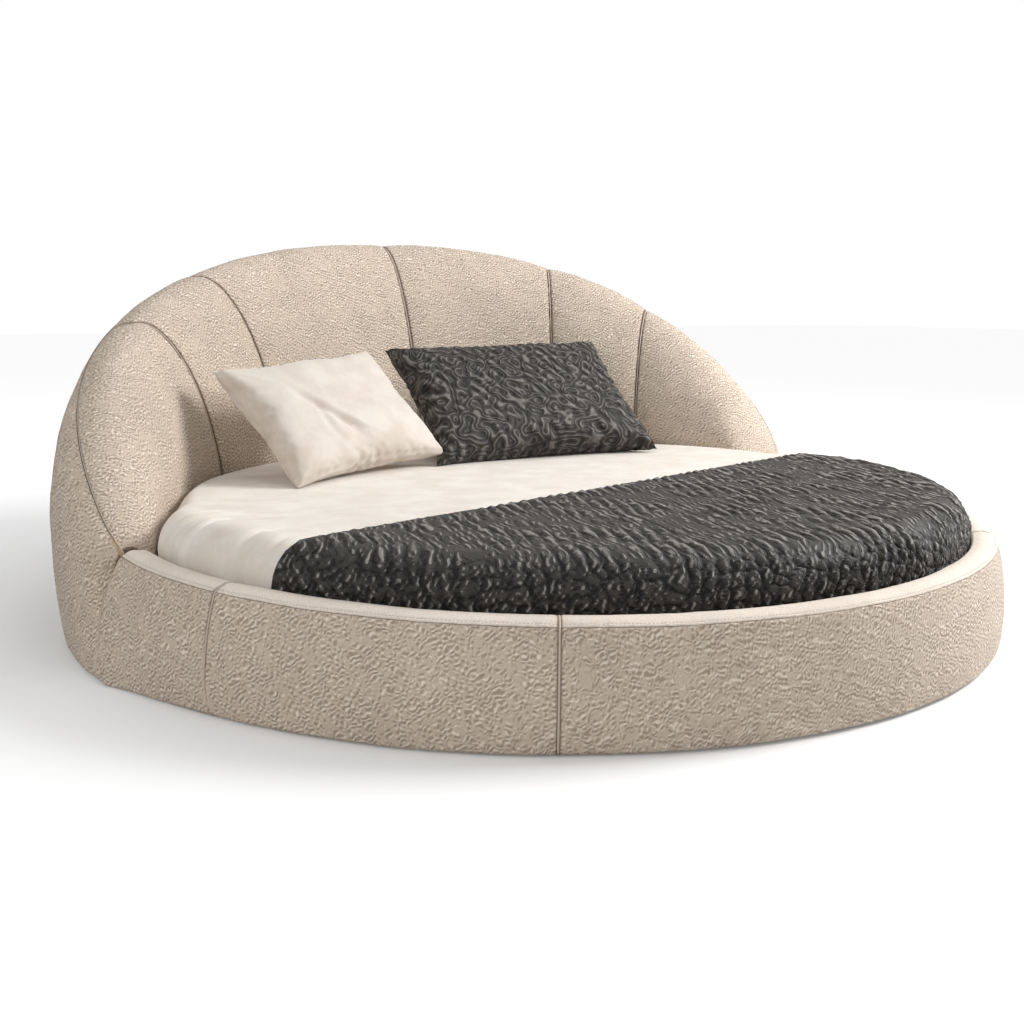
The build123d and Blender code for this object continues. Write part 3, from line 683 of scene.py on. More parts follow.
def buildRail(index, settings, material):
    high, low = settings["cuts"][index], settings["cuts"][index + 1]
    middle = settings["middleRadius"]
    gap = math.degrees(settings["seamGap"] / middle)
    columns = int(math.radians(high - low) * middle / settings["columnStep"])
    angle = (high - gap + (low - high + 2 * gap) * evenEnds(columns, settings["crowd"]))[:, None]
    radius, height, wallRows, shown = railGrid(angle[:, 0], settings)
    rows = radius.shape[1]
    level = railPoints(radius, np.broadcast_to(angle, radius.shape), height, settings)[..., 2]
    outer = (np.arange(rows) < wallRows)[None, :]
    slanted = angle - leftSlant(angle, level, leftEndShape) * outer * (index == 0)
    radius = radius + leftFlare(angle, level, leftEndShape) * outer
    grid = railPoints(radius, slanted, height, settings)

    def wide(values):
        return np.broadcast_to(values, radius.shape)

    steps = lineLength(grid[columns // 2])
    along = wide((steps - steps[wallRows - 1])[None, :])        # 0 at the seam, above it +
    around = wide(np.radians(angle) * middle)
    fromStart, fromEnd = wide(np.radians(high - angle) * middle), wide(np.radians(angle - low) * middle)
    fromCut = np.minimum(fromStart, fromEnd)
    above = along > 0
    lift = -settings["endDrop"] * roundOff(fromCut, settings["endRound"])
    lift += settings["endPucker"] * (seamPucker(along, fromStart, 41 + index)
                                     + seamPucker(along, fromEnd, 51 + index))
    lift += settings["seamPucker"] * seamPucker(around, np.abs(along), 61) * np.where(above, 1.0, 0.7)
    lift += settings["swell"] * softNoise(grid, 0.14, 9) * np.where(above, 0.5, 1)
    lift += settings["fineSwell"] * softNoise(grid, 0.04, 10)
    for offset, high, width in settings["seamRelief"]:
        lift += high * np.exp(-((along - offset) / width) ** 2)
    show = np.zeros(rows)
    show[2:shown - 2] = 1
    show[1] = 0.5
    normal = outwardNormals(grid, wallRows // 2)
    grid = grid + normal * (lift * show[None, :])[..., None]
    row = int(np.argmin(np.abs(along[columns // 2, :shown] - settings["stitchRow"])))
    stitchPaths.append((grid + normal * 0.0003)[2:-2, row])
    name = settings["names"][index]
    piece = makeMesh("railCover_" + name, grid, loopFaces(columns, rows), material, "base")
    shade = np.exp(-fromCut / settings["cutShade"])
    for offset, (most, width) in ((0, settings["seamShade"]),
                                  (settings["stitchRow"], settings["stitchShade"])):
        shade = np.maximum(shade, most * np.exp(-np.abs(along - offset) / width))
    setAttribute(piece, "seamShade", shade)
    setAttribute(piece, "topBand", smoothStep(-0.002, 0.002, along))
    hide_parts("rail_pad_" + name)


# Mattress: a round cut off toward the head, with the sheet stretched over it.

mattress = {
    "radius": 1.100, "headCircle": 1.049, "headShift": 0.145, "join": 0.007,
    "armCircle": 1.146, "armShift": 0.396,
    "bottom": 0.1503, "top": 0.350, "topRound": 0.075, "bottomRound": 0.018,
    "padGap": 0.0035, "padColumns": 240, "quiltCell": 0.16, "quiltPaintedShading": 0.003,
}


def mattressRadius(angle, settings):
    # outline of the mattress from its middle, angle in radians from the head towards +X
    reaches = [np.sqrt(settings[circle] ** 2 - (settings[shift] * np.sin(angle)) ** 2)
               - settings[shift] * np.cos(angle)
               for circle, shift in (("headCircle", "headShift"), ("armCircle", "armShift"))]
    headReach = np.maximum(*reaches)
    both = np.stack([np.full_like(headReach, settings["radius"]), headReach])
    soft = settings["join"]
    least = both.min(axis=0)
    return least - soft * np.log(np.exp(-(both - least) / soft).sum(axis=0))


def roundedSide(settings, grow=0.0, rows=10):
    # (inset, height) pairs up the side of the mattress and over its top edge
    top, bottom = settings["top"] + grow, settings["bottom"]
    r = settings["topRound"] + grow
    low = settings["bottomRound"]
    turn = np.linspace(-math.pi / 2, 0, 7)
    line = [(low * (1 - math.cos(t)), bottom + low + low * math.sin(t)) for t in turn]
    line += [(0.0, z) for z in np.linspace(bottom + low, top - r, rows)[1:]]
    turn = np.linspace(0, math.pi / 2, 14)[1:]
    line += [(r * (1 - math.cos(t)), top - r + r * math.sin(t)) for t in turn]
    return line


def buildPad(settings, material):
    # the quilted ticking with the foam in it, hidden by the sheet except underneath
    angle = np.linspace(0, 2 * math.pi, settings["padColumns"] + 1)[:-1]
    edge = mattressRadius(angle, settings) - settings["padGap"]
    bottom, top = settings["bottom"], settings["top"] - settings["padGap"]
    rings = [(edge - inset, np.full_like(edge, height))
             for inset, height in roundedSide(settings, -settings["padGap"])]
    lowRadius, topRadius = rings[0][0], rings[-1][0]
    shares = np.linspace(0, 1, 30)[1:-1]
    rings = ([(lowRadius * s, np.full_like(edge, bottom)) for s in shares] + rings
             + [(topRadius * s, np.full_like(edge, top)) for s in shares[::-1]])
    grid = np.stack([ringPoints(r, np.degrees(angle), z) for r, z in rings], axis=1)
    cells = np.sin(grid[..., :2] * math.pi / settings["quiltCell"])
    sunk = 1 - np.abs(cells[..., 0] * cells[..., 1]) ** 0.5
    onTop = np.array([abs(z[0] - settings["top"]) < 0.004 for _, z in rings])
    grid[..., 2] -= settings["quiltPaintedShading"] * sunk * onTop[None, :]
    columns, rows = grid.shape[:2]
    points = grid.reshape(-1, 3).tolist()
    faces = ringFaces(columns, rows)
    for row, z in ((0, bottom), (rows - 1, top)):
        faces += hubFaces(columns, rows, row, len(points))
        points.append((0, 0, z))
    piece = makeMesh("mattressPad", points, faces, material, "mattress")
    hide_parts("mattress_core", "mattress_ticking")


sheet = {
    "columns": 840, "steps": 80, "turnedUnder": 0.045,
    "headTopRound": 0.030, "roundFrom": 58, "roundTo": 84, "sideFrom": 0.19,
    # folds that start at the rim and run in over the top, strongest at the front left
    "foldMiddle": -104, "foldSpread": 17, "foldSize": 2.3, "foldHeight": 0.0140, "foldSharp": 0.34,
    "foldReach": 0.15, "swell": 0.0012,
}


def buildSheet(settings, bed, material):
    # a fitted sheet: over the top, down the side and turned under, with soft tucks on the left
    angle = np.linspace(0, 2 * math.pi, settings["columns"] + 1)[:-1]
    edge = mattressRadius(angle, bed)
    fromHead = np.degrees(np.minimum(angle, 2 * math.pi - angle))
    tight = settings["headTopRound"] / bed["topRound"]
    rim = tight + (1 - tight) * smoothStep(settings["roundFrom"], settings["roundTo"], fromHead)
    line = [(settings["turnedUnder"], bed["bottom"] - 0.0002)] + roundedSide(bed, 0.0, 14)
    top, knee = bed["top"], bed["top"] - bed["topRound"]
    rings = []
    for inset, height in line:
        if height > knee:
            rings.append((edge - inset * rim, top - (top - height) * rim))
        else:
            share = max(0.0, (height - settings["sideFrom"]) / (knee - settings["sideFrom"]))
            rings.append((edge - inset, height + bed["topRound"] * (1 - rim) * share))
    topRadius = rings[-1][0]
    shares = np.linspace(1, 0, settings["steps"])[1:-1]
    rings += [(topRadius * s, np.full_like(edge, top)) for s in shares]
    grid = np.stack([ringPoints(r, np.degrees(angle), z) for r, z in rings], axis=1)
    columns, rows = grid.shape[:2]
    share = np.concatenate([np.linspace(-0.2, 0, len(line)), 1 - shares])

    compass = np.degrees(angle)
    compass = np.where(compass > 180, compass - 360, compass)
    left = np.exp(-((compass - settings["foldMiddle"]) / settings["foldSpread"]) ** 2)
    bend = softNoise(spots(compass / 9, 0.0, 9.0), 1.0, 73) * 3.0
    inward = np.clip(share, 0, 1)[None, :]
    turned = compass[:, None] + bend[:, None] * inward * 6
    place = spots(turned / settings["foldSize"], 2.2 * inward, 0.0)
    crease = np.exp(-(softNoise(place, 1.0, 71) / settings["foldSharp"]) ** 2)
    reach = np.exp(-inward / settings["foldReach"]) * smoothStep(-0.16, -0.03, share)[None, :]
    lift = settings["foldHeight"] * (1 - crease) * left[:, None] * reach
    lift += settings["swell"] * softNoise(grid * np.array([1, 1, 0]), 0.22, 74) * (share > 0)[None, :]
    outward = unit(grid * np.array([1, 1, 0]))
    rise = smoothStep(-0.09, 0.0, share)[None, :, None]
    way = np.array([0, 0, 1]) * rise + outward * (1 - rise)
    points = (grid + way * np.maximum(lift, -0.003)[..., None]).reshape(-1, 3).tolist()
    points.append((0, 0, top))
    faces = ringFaces(columns, rows) + hubFaces(columns, rows, rows - 1, len(points) - 1)
    piece = makeMesh("fittedSheet", points, faces, material, "mattress")
    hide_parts("fitted_sheet")


# Throw: a quilted cloth over the foot of the mattress, one layer on top and one under it.

throw = {
    "edgeDistance": 0.229, "edgeTurn": 16.1,
    "hemHeight": 0.226, "thickness": 0.0080, "clear": 0.0006,
    "step": 0.0052, "underKeep": 4, "underShading": 0.4, "hemCut": 0.004,
    "edgeRound": 0.005, "edgeReach": 0.007, "softReach": 0.016, "least": 0.0035,
    "cellSize": 0.036, "cellHeight": 0.0080, "foldHeight": 0.0040,
    "folds": makeWaves(21, 8, 0.024, 0.034, heading=-20, spread=9),
}


def throwHang(settings, bed):
    # how far the cloth's flat outline lies outside the mattress's radius
    r = bed["topRound"]
    return bed["top"] - r - settings["hemHeight"] + r * math.pi / 2 - r


def throwDrop(x, y, settings, bed):
    # cloth place turned into (radius, height) over the rounded rim, and how far it has turned down
    radius = np.hypot(x, y)
    r, hang = bed["topRound"], throwHang(settings, bed)
    flat = mattressRadius(np.arctan2(x, y), bed) - r
    past = np.clip(radius - flat, 0, None) * (hang + r) / (bed["radius"] + hang - flat)
    turn = np.clip(past / r, 0, math.pi / 2)
    out = np.where(past > 0, flat + r * np.sin(turn), radius)
    return out, bed["top"] - r * (1 - np.cos(turn)) - np.clip(past - r * math.pi / 2, 0, None), turn


def throwMap(x, y, offset, settings, bed):
    # flat cloth place to the place on the bed, offset outwards
    out, height, turn = throwDrop(x, y, settings, bed)
    scale = (out + offset * np.sin(turn)) / np.maximum(np.hypot(x, y), 1e-9)
    return np.stack([x * scale, y * scale, height + offset * np.cos(turn)], axis=-1)


def quiltRelief(x, y, settings, seed, pebble):
    # long puckers with a groove beside each, and pebble cells with sharp valleys where the cloth
    # turns down; the second result is painted shading, 0 darkest in grooves and cell valleys, 1 a
    # highlight on folds
    flat = spots(x, y, seed)

    def bend(size, seed):
        return 0.026 * softNoise(flat, size, seed) + 0.008 * softNoise(flat, 0.045, seed + 1)

    bendX, bendY = bend(0.13, seed), bend(0.12, seed + 2)
    near, second = cellField(x + bendX, (y + bendY) * 1.15, settings["cellSize"], seed + 4)
    cells = 1 - np.exp(-(second - near) / 0.13)
    dome = np.clip(1.05 - near, 0, 1) ** 0.5
    field = waveSum(spots(x + 0.35 * bendX, y + 0.35 * bendY, 0.0), settings["folds"])
    fold, groove = smoothStep(0.35, 1.6, field), smoothStep(0.25, 1.6, -field)
    height = (pebble * settings["cellHeight"] * (cells * (0.6 + 0.4 * dome) - 0.62)
              + settings["foldHeight"] * (fold - groove) + 0.0016 * softNoise(flat, 0.10, seed + 6))
    # painted shade in the grooves and cell valleys, painted highlight on the folds
    deep = 0.48 + (1 - 0.6 * pebble) * (0.42 * fold - 0.46 * groove) - pebble * 0.60 * (1 - cells)
    return height, np.clip(deep, 0, 1)


def buildThrow(settings, bed, material):
    turn = math.radians(settings["edgeTurn"])
    inward = np.array([math.sin(turn), -math.cos(turn)])       # from the straight edge toward the foot
    along = np.array([math.cos(turn), math.sin(turn)])
    # rows run along the straight edge, crowd gently toward the foot and end on the round hem
    hemRadius = bed["radius"] + throwHang(settings, bed)
    depth = hemRadius - settings["edgeDistance"]
    across = int(2 * hemRadius * 0.90 / settings["step"])
    share = np.linspace(0, 1, int(depth / settings["step"]))
    q = depth * (0.55 * share + 0.45 * np.sin(share * math.pi / 2))
    q[-1] = depth - settings["hemCut"]
    half = np.sqrt(np.maximum(0, hemRadius ** 2 - (settings["edgeDistance"] + q) ** 2))
    t = np.linspace(-1, 1, across)
    p = (np.sin(t * math.pi / 2) * 0.22 + t * 0.78)[:, None] * half[None, :]
    x, y = (p * along[k] + (settings["edgeDistance"] + q)[None, :] * inward[k] for k in (0, 1))
    pebble = 0.12 + 0.88 * smoothStep(0.25, 1.0, throwDrop(x, y, settings, bed)[2])
    relief, deep = quiltRelief(x, y, settings, 81, pebble)
    fromRim = np.minimum(hemRadius - np.hypot(x, y), q[None, :])
    thin = settings["edgeRound"] * roundOff(fromRim, settings["edgeReach"])
    offset = (settings["thickness"] + settings["clear"] - thin
              + relief * smoothStep(-0.002, settings["softReach"], fromRim))
    top = throwMap(x, y, np.maximum(offset, settings["least"]), settings, bed)
    under = throwMap(x, y, settings["clear"], settings, bed)

    columns, rows = p.shape
    keep = settings["underKeep"]
    underRows, underColumns = (sorted({*range(0, count, keep), count - 1}) for count in (rows, columns))
    work = bmesh.new()
    topVerts = [[work.verts.new(top[i, j]) for j in range(rows)] for i in range(columns)]
    underVerts = {(i, j): work.verts.new(under[i, j]) for i in underColumns for j in underRows}
    for i, j in itertools.product(range(columns - 1), range(rows - 1)):
        work.faces.new((topVerts[i][j], topVerts[i][j + 1], topVerts[i + 1][j + 1], topVerts[i + 1][j]))
    for a, b in itertools.pairwise(underColumns):
        for c, d in itertools.pairwise(underRows):
            work.faces.new((underVerts[a, c], underVerts[b, c], underVerts[b, d], underVerts[a, d]))
    # the rim between the two layers, one face for each stretch of the coarse side
    for j in (0, rows - 1):
        for a, b in itertools.pairwise(underColumns):
            fine = [topVerts[i][j] for i in range(a, b + 1)]
            work.faces.new([underVerts[a, j], underVerts[b, j]] + fine[::-1])
    for i in (0, columns - 1):
        for a, b in itertools.pairwise(underRows):
            work.faces.new([underVerts[i, a], underVerts[i, b]] + topVerts[i][a:b + 1][::-1])
    mesh = fillMesh(bpy.data.meshes.new("quiltedThrow"), work)
    piece = addPiece("quiltedThrow", mesh, material, "throw")
    # painted shading for the colour; the under layer gets one even level
    quiltShadings = np.full(len(mesh.vertices), settings["underShading"])
    quiltShadings[:deep.size] = deep.ravel()
    setAttribute(piece, "quiltPaintedShading", quiltShadings)
    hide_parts("throw")


# Pillows: two layers sewn at the edge, blown up by a cloth simulation and set in the place that
# the solids have.

pillow = {"pressure": 4.0, "frames": 30, "simCell": 0.015, "cell": 0.0052, "fullness": 0.80,
          "restHeight": 0.3522, "rimGroove": 0.0022, "rimDistance": 0.012, "rimWidth": 0.004,
          "flatRim": 0.004, "fullRelief": 0.055, "startPuff": 0.022, "uneven": 0.010}

darkPillow = dict(pillow, node="dark_pillow", slot="charcoal_fabric", seed=5,
                  width=0.790, height=0.540, depth=0.165, fill=0.7,
                  centre=(0.248, 0.568, 0.5235), yaw=-4, recline=51.5, roll=1.2)

creamPillow = dict(pillow, node="cream_pillow", slot="cream_fabric", seed=9,
                   width=0.590, height=0.440, depth=0.150, fill=0.55,
                   centre=(-0.458, 0.434, 0.5166), yaw=18.4, recline=46.7, roll=4.5)


def pillowAxes(settings):
    yaw, recline, roll = (math.radians(settings[k]) for k in ("yaw", "recline", "roll"))
    normal = np.array([math.sin(yaw) * math.cos(recline), -math.cos(yaw) * math.cos(recline),
                       math.sin(recline)])
    across = np.array([math.cos(yaw), math.sin(yaw), 0.0])
    up = np.cross(normal, across)
    turn = np.array([[math.cos(roll), math.sin(roll)], [-math.sin(roll), math.cos(roll)]])
    return *(turn @ np.stack([across, up])), normal


def resampled(grid, count):
    # smooth curve through the first axis of a grid, at count even places
    old = grid.shape[0]
    place = np.linspace(0, old - 1, count)
    base = np.clip(np.floor(place).astype(int), 0, old - 2)
    part = (place - base)[:, None, None]
    padded = np.concatenate([2 * grid[:1] - grid[1:2], grid, 2 * grid[-1:] - grid[-2:-1]])
    a, b, c, d = (padded[base + k] for k in range(4))
    return 0.5 * (2 * b + (c - a) * part + (2 * a - 5 * b + 4 * c - d) * part ** 2
                  + (3 * b - a - 3 * c + d) * part ** 3)


def puffedLayers(name, settings):
    # two flat layers sewn at the edge and blown up by the cloth simulation; the result has the
    # shape (2, columns, rows, 3)
    columns, rows = (int(settings[k] / settings["simCell"]) for k in ("width", "height"))
    u, v = np.meshgrid(np.linspace(-1, 1, columns), np.linspace(-1, 1, rows), indexing="ij")
    rise = np.clip((1 - u ** 2) * (1 - v ** 2), 0, 1) ** 0.5
    uneven = softNoise(spots(u, v, settings["seed"]), 0.5, settings["seed"])
    start, tilt = settings["startPuff"] * rise, settings["uneven"] * uneven * rise
    points, spot = [], np.zeros((2, columns, rows), int)
    for side in (0, 1):
        for i, j in itertools.product(range(columns), range(rows)):
            if side and (i in (0, columns - 1) or j in (0, rows - 1)):
                spot[1, i, j] = spot[0, i, j]
                continue
            spot[side, i, j] = len(points)
            z = (1 - 2 * side) * start[i, j] + tilt[i, j]
            points.append((u[i, j] * settings["width"] / 2, v[i, j] * settings["height"] / 2, z))
    faces = []
    for side, i, j in itertools.product((0, 1), range(columns - 1), range(rows - 1)):
        quad = [spot[side, i, j], spot[side, i + 1, j], spot[side, i + 1, j + 1], spot[side, i, j + 1]]
        faces.append([int(k) for k in (quad[::-1] if side else quad)])
    mesh = bpy.data.meshes.new(name + "Sewn")
    mesh.from_pydata(points, [], faces)
    sewn = bpy.data.objects.new(name + "Sewn", mesh)
    scene.collection.objects.link(sewn)
    cloth = sewn.modifiers.new("puff", "CLOTH")
    for key, value in {"quality": 6, "mass": 0.25, "tension_stiffness": 14, "compression_stiffness": 14,
                       "shear_stiffness": 5, "bending_stiffness": 0.25, "use_pressure": True,
                       "uniform_pressure_force": settings["pressure"]}.items():
        setattr(cloth.settings, key, value)
    cloth.settings.effector_weights.gravity = 0
    cloth.collision_settings.use_collision = False
    cloth.point_cache.frame_start, cloth.point_cache.frame_end = 1, settings["frames"]
    for frameNumber in range(1, settings["frames"] + 1):
        scene.frame_set(frameNumber)
        graph = bpy.context.evaluated_depsgraph_get()
        shape = sewn.evaluated_get(graph).to_mesh()
        place = np.zeros(len(shape.vertices) * 3)
        shape.vertices.foreach_get("co", place)
        place = place.reshape(-1, 3)
        sewn.evaluated_get(graph).to_mesh_clear()
        if np.ptp(place[:, 2]) > settings["depth"] * 1.02:
            break
    print(name, "pillow: stopped at frame", frameNumber, "size", np.round(np.ptp(place, axis=0), 3))
    scene.frame_set(1)
    bpy.data.objects.remove(sewn)
    place = place - (place.max(axis=0) + place.min(axis=0)) / 2
    place *= np.array([settings[k] for k in ("width", "height", "depth")]) / np.ptp(place, axis=0)
    share = np.abs(place[:, 2]) / (settings["depth"] / 2)
    place[:, 2] = np.sign(place[:, 2]) * settings["depth"] / 2 * share ** settings["fullness"]
    return place[spot]


def buildPillow(name, settings, material, relief):
    columns, rows = (int(settings[k] / settings["cell"]) for k in ("width", "height"))
    across, up, normal = pillowAxes(settings)
    i, j = np.meshgrid(np.arange(columns), np.arange(rows), indexing="ij")
    fromEdge = np.minimum.reduce([i, columns - 1 - i, j, rows - 1 - j]) * settings["cell"]
    groove = np.exp(-((fromEdge - settings["rimDistance"]) / settings["rimWidth"]) ** 2)
    work = bmesh.new()
    grids, quiltShadings = [], []
    for side, layer in zip((1, -1), puffedLayers(name, settings)):
        layer = resampled(resampled(layer, columns).transpose(1, 0, 2), rows).transpose(1, 0, 2)
        out = unit(np.cross(np.gradient(layer, axis=0), np.gradient(layer, axis=1)) * side)
        bump, deep = relief(layer[..., 0], layer[..., 1], side)
        bump = (bump * smoothStep(settings["flatRim"], settings["fullRelief"], fromEdge)
                - settings["rimGroove"] * groove)
        layer = layer + out * bump[..., None]
        place = (np.array(settings["centre"]) + layer[..., :1] * across + layer[..., 1:2] * up
                 + layer[..., 2:] * normal)
        place[..., 2] = np.maximum(place[..., 2], settings["restHeight"])       # flat where it rests
        grid = [[None] * rows for _ in range(columns)]
        for i, j in itertools.product(range(columns), range(rows)):
            if side == -1 and (i in (0, columns - 1) or j in (0, rows - 1)):
                grid[i][j] = grids[0][i][j]
            else:
                grid[i][j] = work.verts.new(place[i, j])
                quiltShadings.append(deep[i, j])
        grids.append(grid)
        for i, j in itertools.product(range(columns - 1), range(rows - 1)):
            quad = (grid[i][j], grid[i + 1][j], grid[i + 1][j + 1], grid[i][j + 1])
            work.faces.new(quad if side == 1 else quad[::-1])
    mesh = fillMesh(bpy.data.meshes.new(name + "Pillow"), work)
    piece = addPiece(name + "Pillow", mesh, material, settings["node"])
    # painted shading of the quilt, for the colour
    setAttribute(piece, "quiltPaintedShading", quiltShadings)
    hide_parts(settings["node"] + "_cover", settings["node"] + "_insert")


pillowQuilt = dict(throw, foldHeight=0.0026,
                   folds=makeWaves(22, 8, 0.030, 0.046, heading=38, spread=60))


def darkRelief(x, y, side):
    bump, deep = quiltRelief(x, y, pillowQuilt, 141 + side, 0.20)
    return bump + 0.005 * softNoise(spots(x, y, side), 0.13, 95), deep


# three soft creases fan out from the lower middle toward the upper left: where each starts, how it
# leans, its depth and width, and how high it runs
creamCreases = [(-0.055, 0.62, 0.0080, 0.016, 0.12), (-0.100, 0.15, 0.0060, 0.013, 0.04),
                (-0.030, 1.05, 0.0045, 0.012, 0.02)]


def creamRelief(x, y, side):
    bump = 0.011 * softNoise(spots(x * 1.4 + y * 0.5, y * 0.7, side), 0.12, 97)
    for start, lean, deep, wide, high in creamCreases:
        here = smoothStep(-0.17, -0.08, y) * smoothStep(high, high - 0.12, y)
        across = x - start + lean * (y + 0.08) + 0.010 * np.sin(y * 26 + start * 90)
        bump += deep * (0.8 * np.exp(-((across - 1.7 * wide) / (1.4 * wide)) ** 2)
                        - np.exp(-(across / wide) ** 2)) * here
    bump += 0.0018 * softNoise(spots(x, y, 0.0), 0.05, 98)
    return bump, 0 * x + 0.5


# Materials. Every pattern lies on Object coordinates or on a piece's own attribute.

def newMaterial(name):
    material = bpy.data.materials.new(name)
    material.use_nodes = True
    return material, material.node_tree, material.node_tree.nodes["Principled BSDF"]


def ramp(tree, value, low, high, outLow=0.0, outHigh=1.0, smooth=True):
    return addNode(tree, "ShaderNodeMapRange", {0: value, 1: low, 2: high, 3: outLow, 4: outHigh},
                   interpolation_type="SMOOTHSTEP" if smooth else "LINEAR").outputs[0]


def blendColor(tree, factor, a, b, kind="MIX"):
    return addNode(tree, "ShaderNodeMix", {0: factor, 6: a, 7: b}, data_type="RGBA",
                   blend_type=kind).outputs[2]


def blendValue(tree, factor, a, b):
    return addNode(tree, "ShaderNodeMix", {0: factor, 2: a, 3: b}).outputs[0]


def speckled(tree, color, factor):
    # the colour made darker or lighter by a plain factor
    gray = addNode(tree, "ShaderNodeCombineColor", {0: factor, 1: factor, 2: factor})
    return blendColor(tree, 1.0, color, gray.outputs[0], "MULTIPLY")


def noise(tree, vector, scale, detail=0.0, color=False):
    node = addNode(tree, "ShaderNodeTexNoise", {"Vector": vector, "Scale": scale, "Detail": detail})
    return node.outputs["Color" if color else "Fac"]


def objectPlace(tree):
    return addNode(tree, "ShaderNodeTexCoord").outputs["Object"]


def attribute(tree, name):
    return addNode(tree, "ShaderNodeAttribute", attribute_name=name).outputs["Fac"]


def warped(tree, vector, scale, amount):
    # the same place pushed about by a soft noise
    shift = addNode(tree, "ShaderNodeVectorMath",
                    {0: noise(tree, vector, scale, 1.0, color=True), 1: (0.5, 0.5, 0.5)},
                    operation="SUBTRACT")
    return addNode(tree, "ShaderNodeVectorMath", {0: shift.outputs[0], 1: (amount,) * 3, 2: vector},
                   operation="MULTIPLY_ADD").outputs[0]


def bumped(tree, shader, height, strength, distance):
    bump = addNode(tree, "ShaderNodeBump",
                   {"Strength": strength, "Distance": distance, "Height": height})
    tree.links.new(bump.outputs[0], shader.inputs["Normal"])


def coated(shader, roughness, sheen=0.0, sheenRoughness=0.5, level=0.5):
    for name, value in (("Roughness", roughness), ("Sheen Weight", sheen),
                        ("Sheen Roughness", sheenRoughness), ("Specular IOR Level", level)):
        shader.inputs[name].default_value = value


warmFabric = {
    "ridges": makeWaves(41, 6, 0.0070, 0.0096, a=(1, 0, 0), b=(0, 0.3, 0.95), tilt=0.1)
    + makeWaves(42, 6, 0.0070, 0.0096, a=(0, 1, 0), b=(0.3, 0, 0.95), tilt=0.1),
    "breakScale": 55.0, "warpScale": 46.0, "warpAmount": 0.019,
    # the valley colour is painted shade beside the ridges, the ridge colour a painted highlight on
    # their tops
    "weaveScale": 430.0, "valleyShade": (0.400, 0.316, 0.240, 1), "ground": (0.615, 0.512, 0.413, 1),
    "ridge": (0.850, 0.740, 0.628, 1),
    # the seam colour is painted shade for the sunk seam gaps and the stitch groove
    "bandToplightColor": (0.860, 0.775, 0.685, 1), "seamShadeColor": (0.185, 0.130, 0.090, 1),
    "bumpStrength": 1.0, "bumpDistance": 0.0026, "roughness": 0.93, "sheen": 0.10,
    # each range: from, to, and what those two become
    "breakRange": (0.30, 0.50, 0.34, 1.0), "crestRange": (0.38, 1.20),
    "grooveRange": (-1.30, -0.30, 0.85, 0.0),
    "weaveTint": (0.30, 0.70, 0.80, 1.08), "weaveBump": 0.30,
    "cloudScale": 5.0, "cloudTint": (0.3, 0.7, 0.94, 1.03), "seamShadeRange": (0.20, 0.64, 0.0, 0.90),
    # the rails' top band is smoother, and painted paler for the top light that falls on it
    "bandCalm": 0.82, "bandLevel": 0.60, "bandToplightShare": 0.75,
}


def ridgedCloth(name, settings):
    # woven cloth with raised wandering ridges, like fingerprints, with painted highlight on top and
    # painted shade in the valleys
    material, tree, shader = newMaterial(name)
    place = objectPlace(tree)
    bent = warped(tree, place, settings["warpScale"], settings["warpAmount"])
    stripes = addedWaves(tree, bent, settings["ridges"])
    broken = ramp(tree, noise(tree, place, settings["breakScale"], 1.0), *settings["breakRange"])
    crest = ramp(tree, stripes, *settings["crestRange"])
    groove = ramp(tree, stripes, *settings["grooveRange"])
    ridge = calc(tree, "MULTIPLY", calc(tree, "SUBTRACT", crest, groove), broken)
    ridge = calc(tree, "MULTIPLY_ADD", ridge, 0.5, 0.5)
    band = attribute(tree, "topBand")
    calm = calc(tree, "MULTIPLY", band, settings["bandCalm"])
    ridge = blendValue(tree, calm, ridge, settings["bandLevel"])
    weave = noise(tree, place, settings["weaveScale"], 2.0)
    # painted shade in the valleys and painted highlight on the ridge tops
    tone = blendColor(tree, ramp(tree, ridge, 0.0, 0.5), settings["valleyShade"], settings["ground"])
    tone = blendColor(tree, ramp(tree, ridge, 0.5, 1.0), tone, settings["ridge"])
    # painted top light: the band is mixed toward a paler colour
    toplit = calc(tree, "MULTIPLY", band, settings["bandToplightShare"])
    tone = blendColor(tree, toplit, tone, settings["bandToplightColor"])
    speckle = ramp(tree, weave, *settings["weaveTint"], smooth=False)
    cloud = ramp(tree, noise(tree, place, settings["cloudScale"], 3.0), *settings["cloudTint"])
    tone = speckled(tree, tone, calc(tree, "MULTIPLY", speckle, cloud))
    # painted shade along the seams and the stitch row, mixed toward a dark brown
    shade = ramp(tree, attribute(tree, "seamShade"), *settings["seamShadeRange"])
    tone = blendColor(tree, shade, tone, settings["seamShadeColor"])
    feed(tree, shader.inputs["Base Color"], tone)
    bumped(tree, shader, calc(tree, "MULTIPLY_ADD", weave, settings["weaveBump"], ridge),
           settings["bumpStrength"], settings["bumpDistance"])
    coated(shader, settings["roughness"], settings["sheen"], level=0.2)
    return material


charcoalFabric = {
    # the valley colour is painted shade in grooves and cell valleys, the ridge colour a painted
    # highlight on cord tops
    "valleyShade": (0.0075, 0.0065, 0.0058, 1), "middle": (0.042, 0.037, 0.032, 1),
    "ridge": (0.290, 0.270, 0.248, 1),
    "ribScale": 420.0, "bumpStrength": 0.9, "bumpDistance": 0.0030, "roughness": 0.62, "sheen": 0.06,
    "warpScale": 14.0, "warpAmount": 0.030,
    "lineRange": (0.45, 1.5), "cordHighlight": 0.40,
    "grooveRange": (-1.5, -0.5, 1.0, 0.0), "grooveShadeLevel": -0.34, "grooveBump": -0.8,
    "ribTint": (0.3, 0.7, 0.80, 1.14), "ribBump": 0.18,
    "cords": makeWaves(31, 8, 0.013, 0.019, heading=-20, spread=12, tilt=1.0),
}

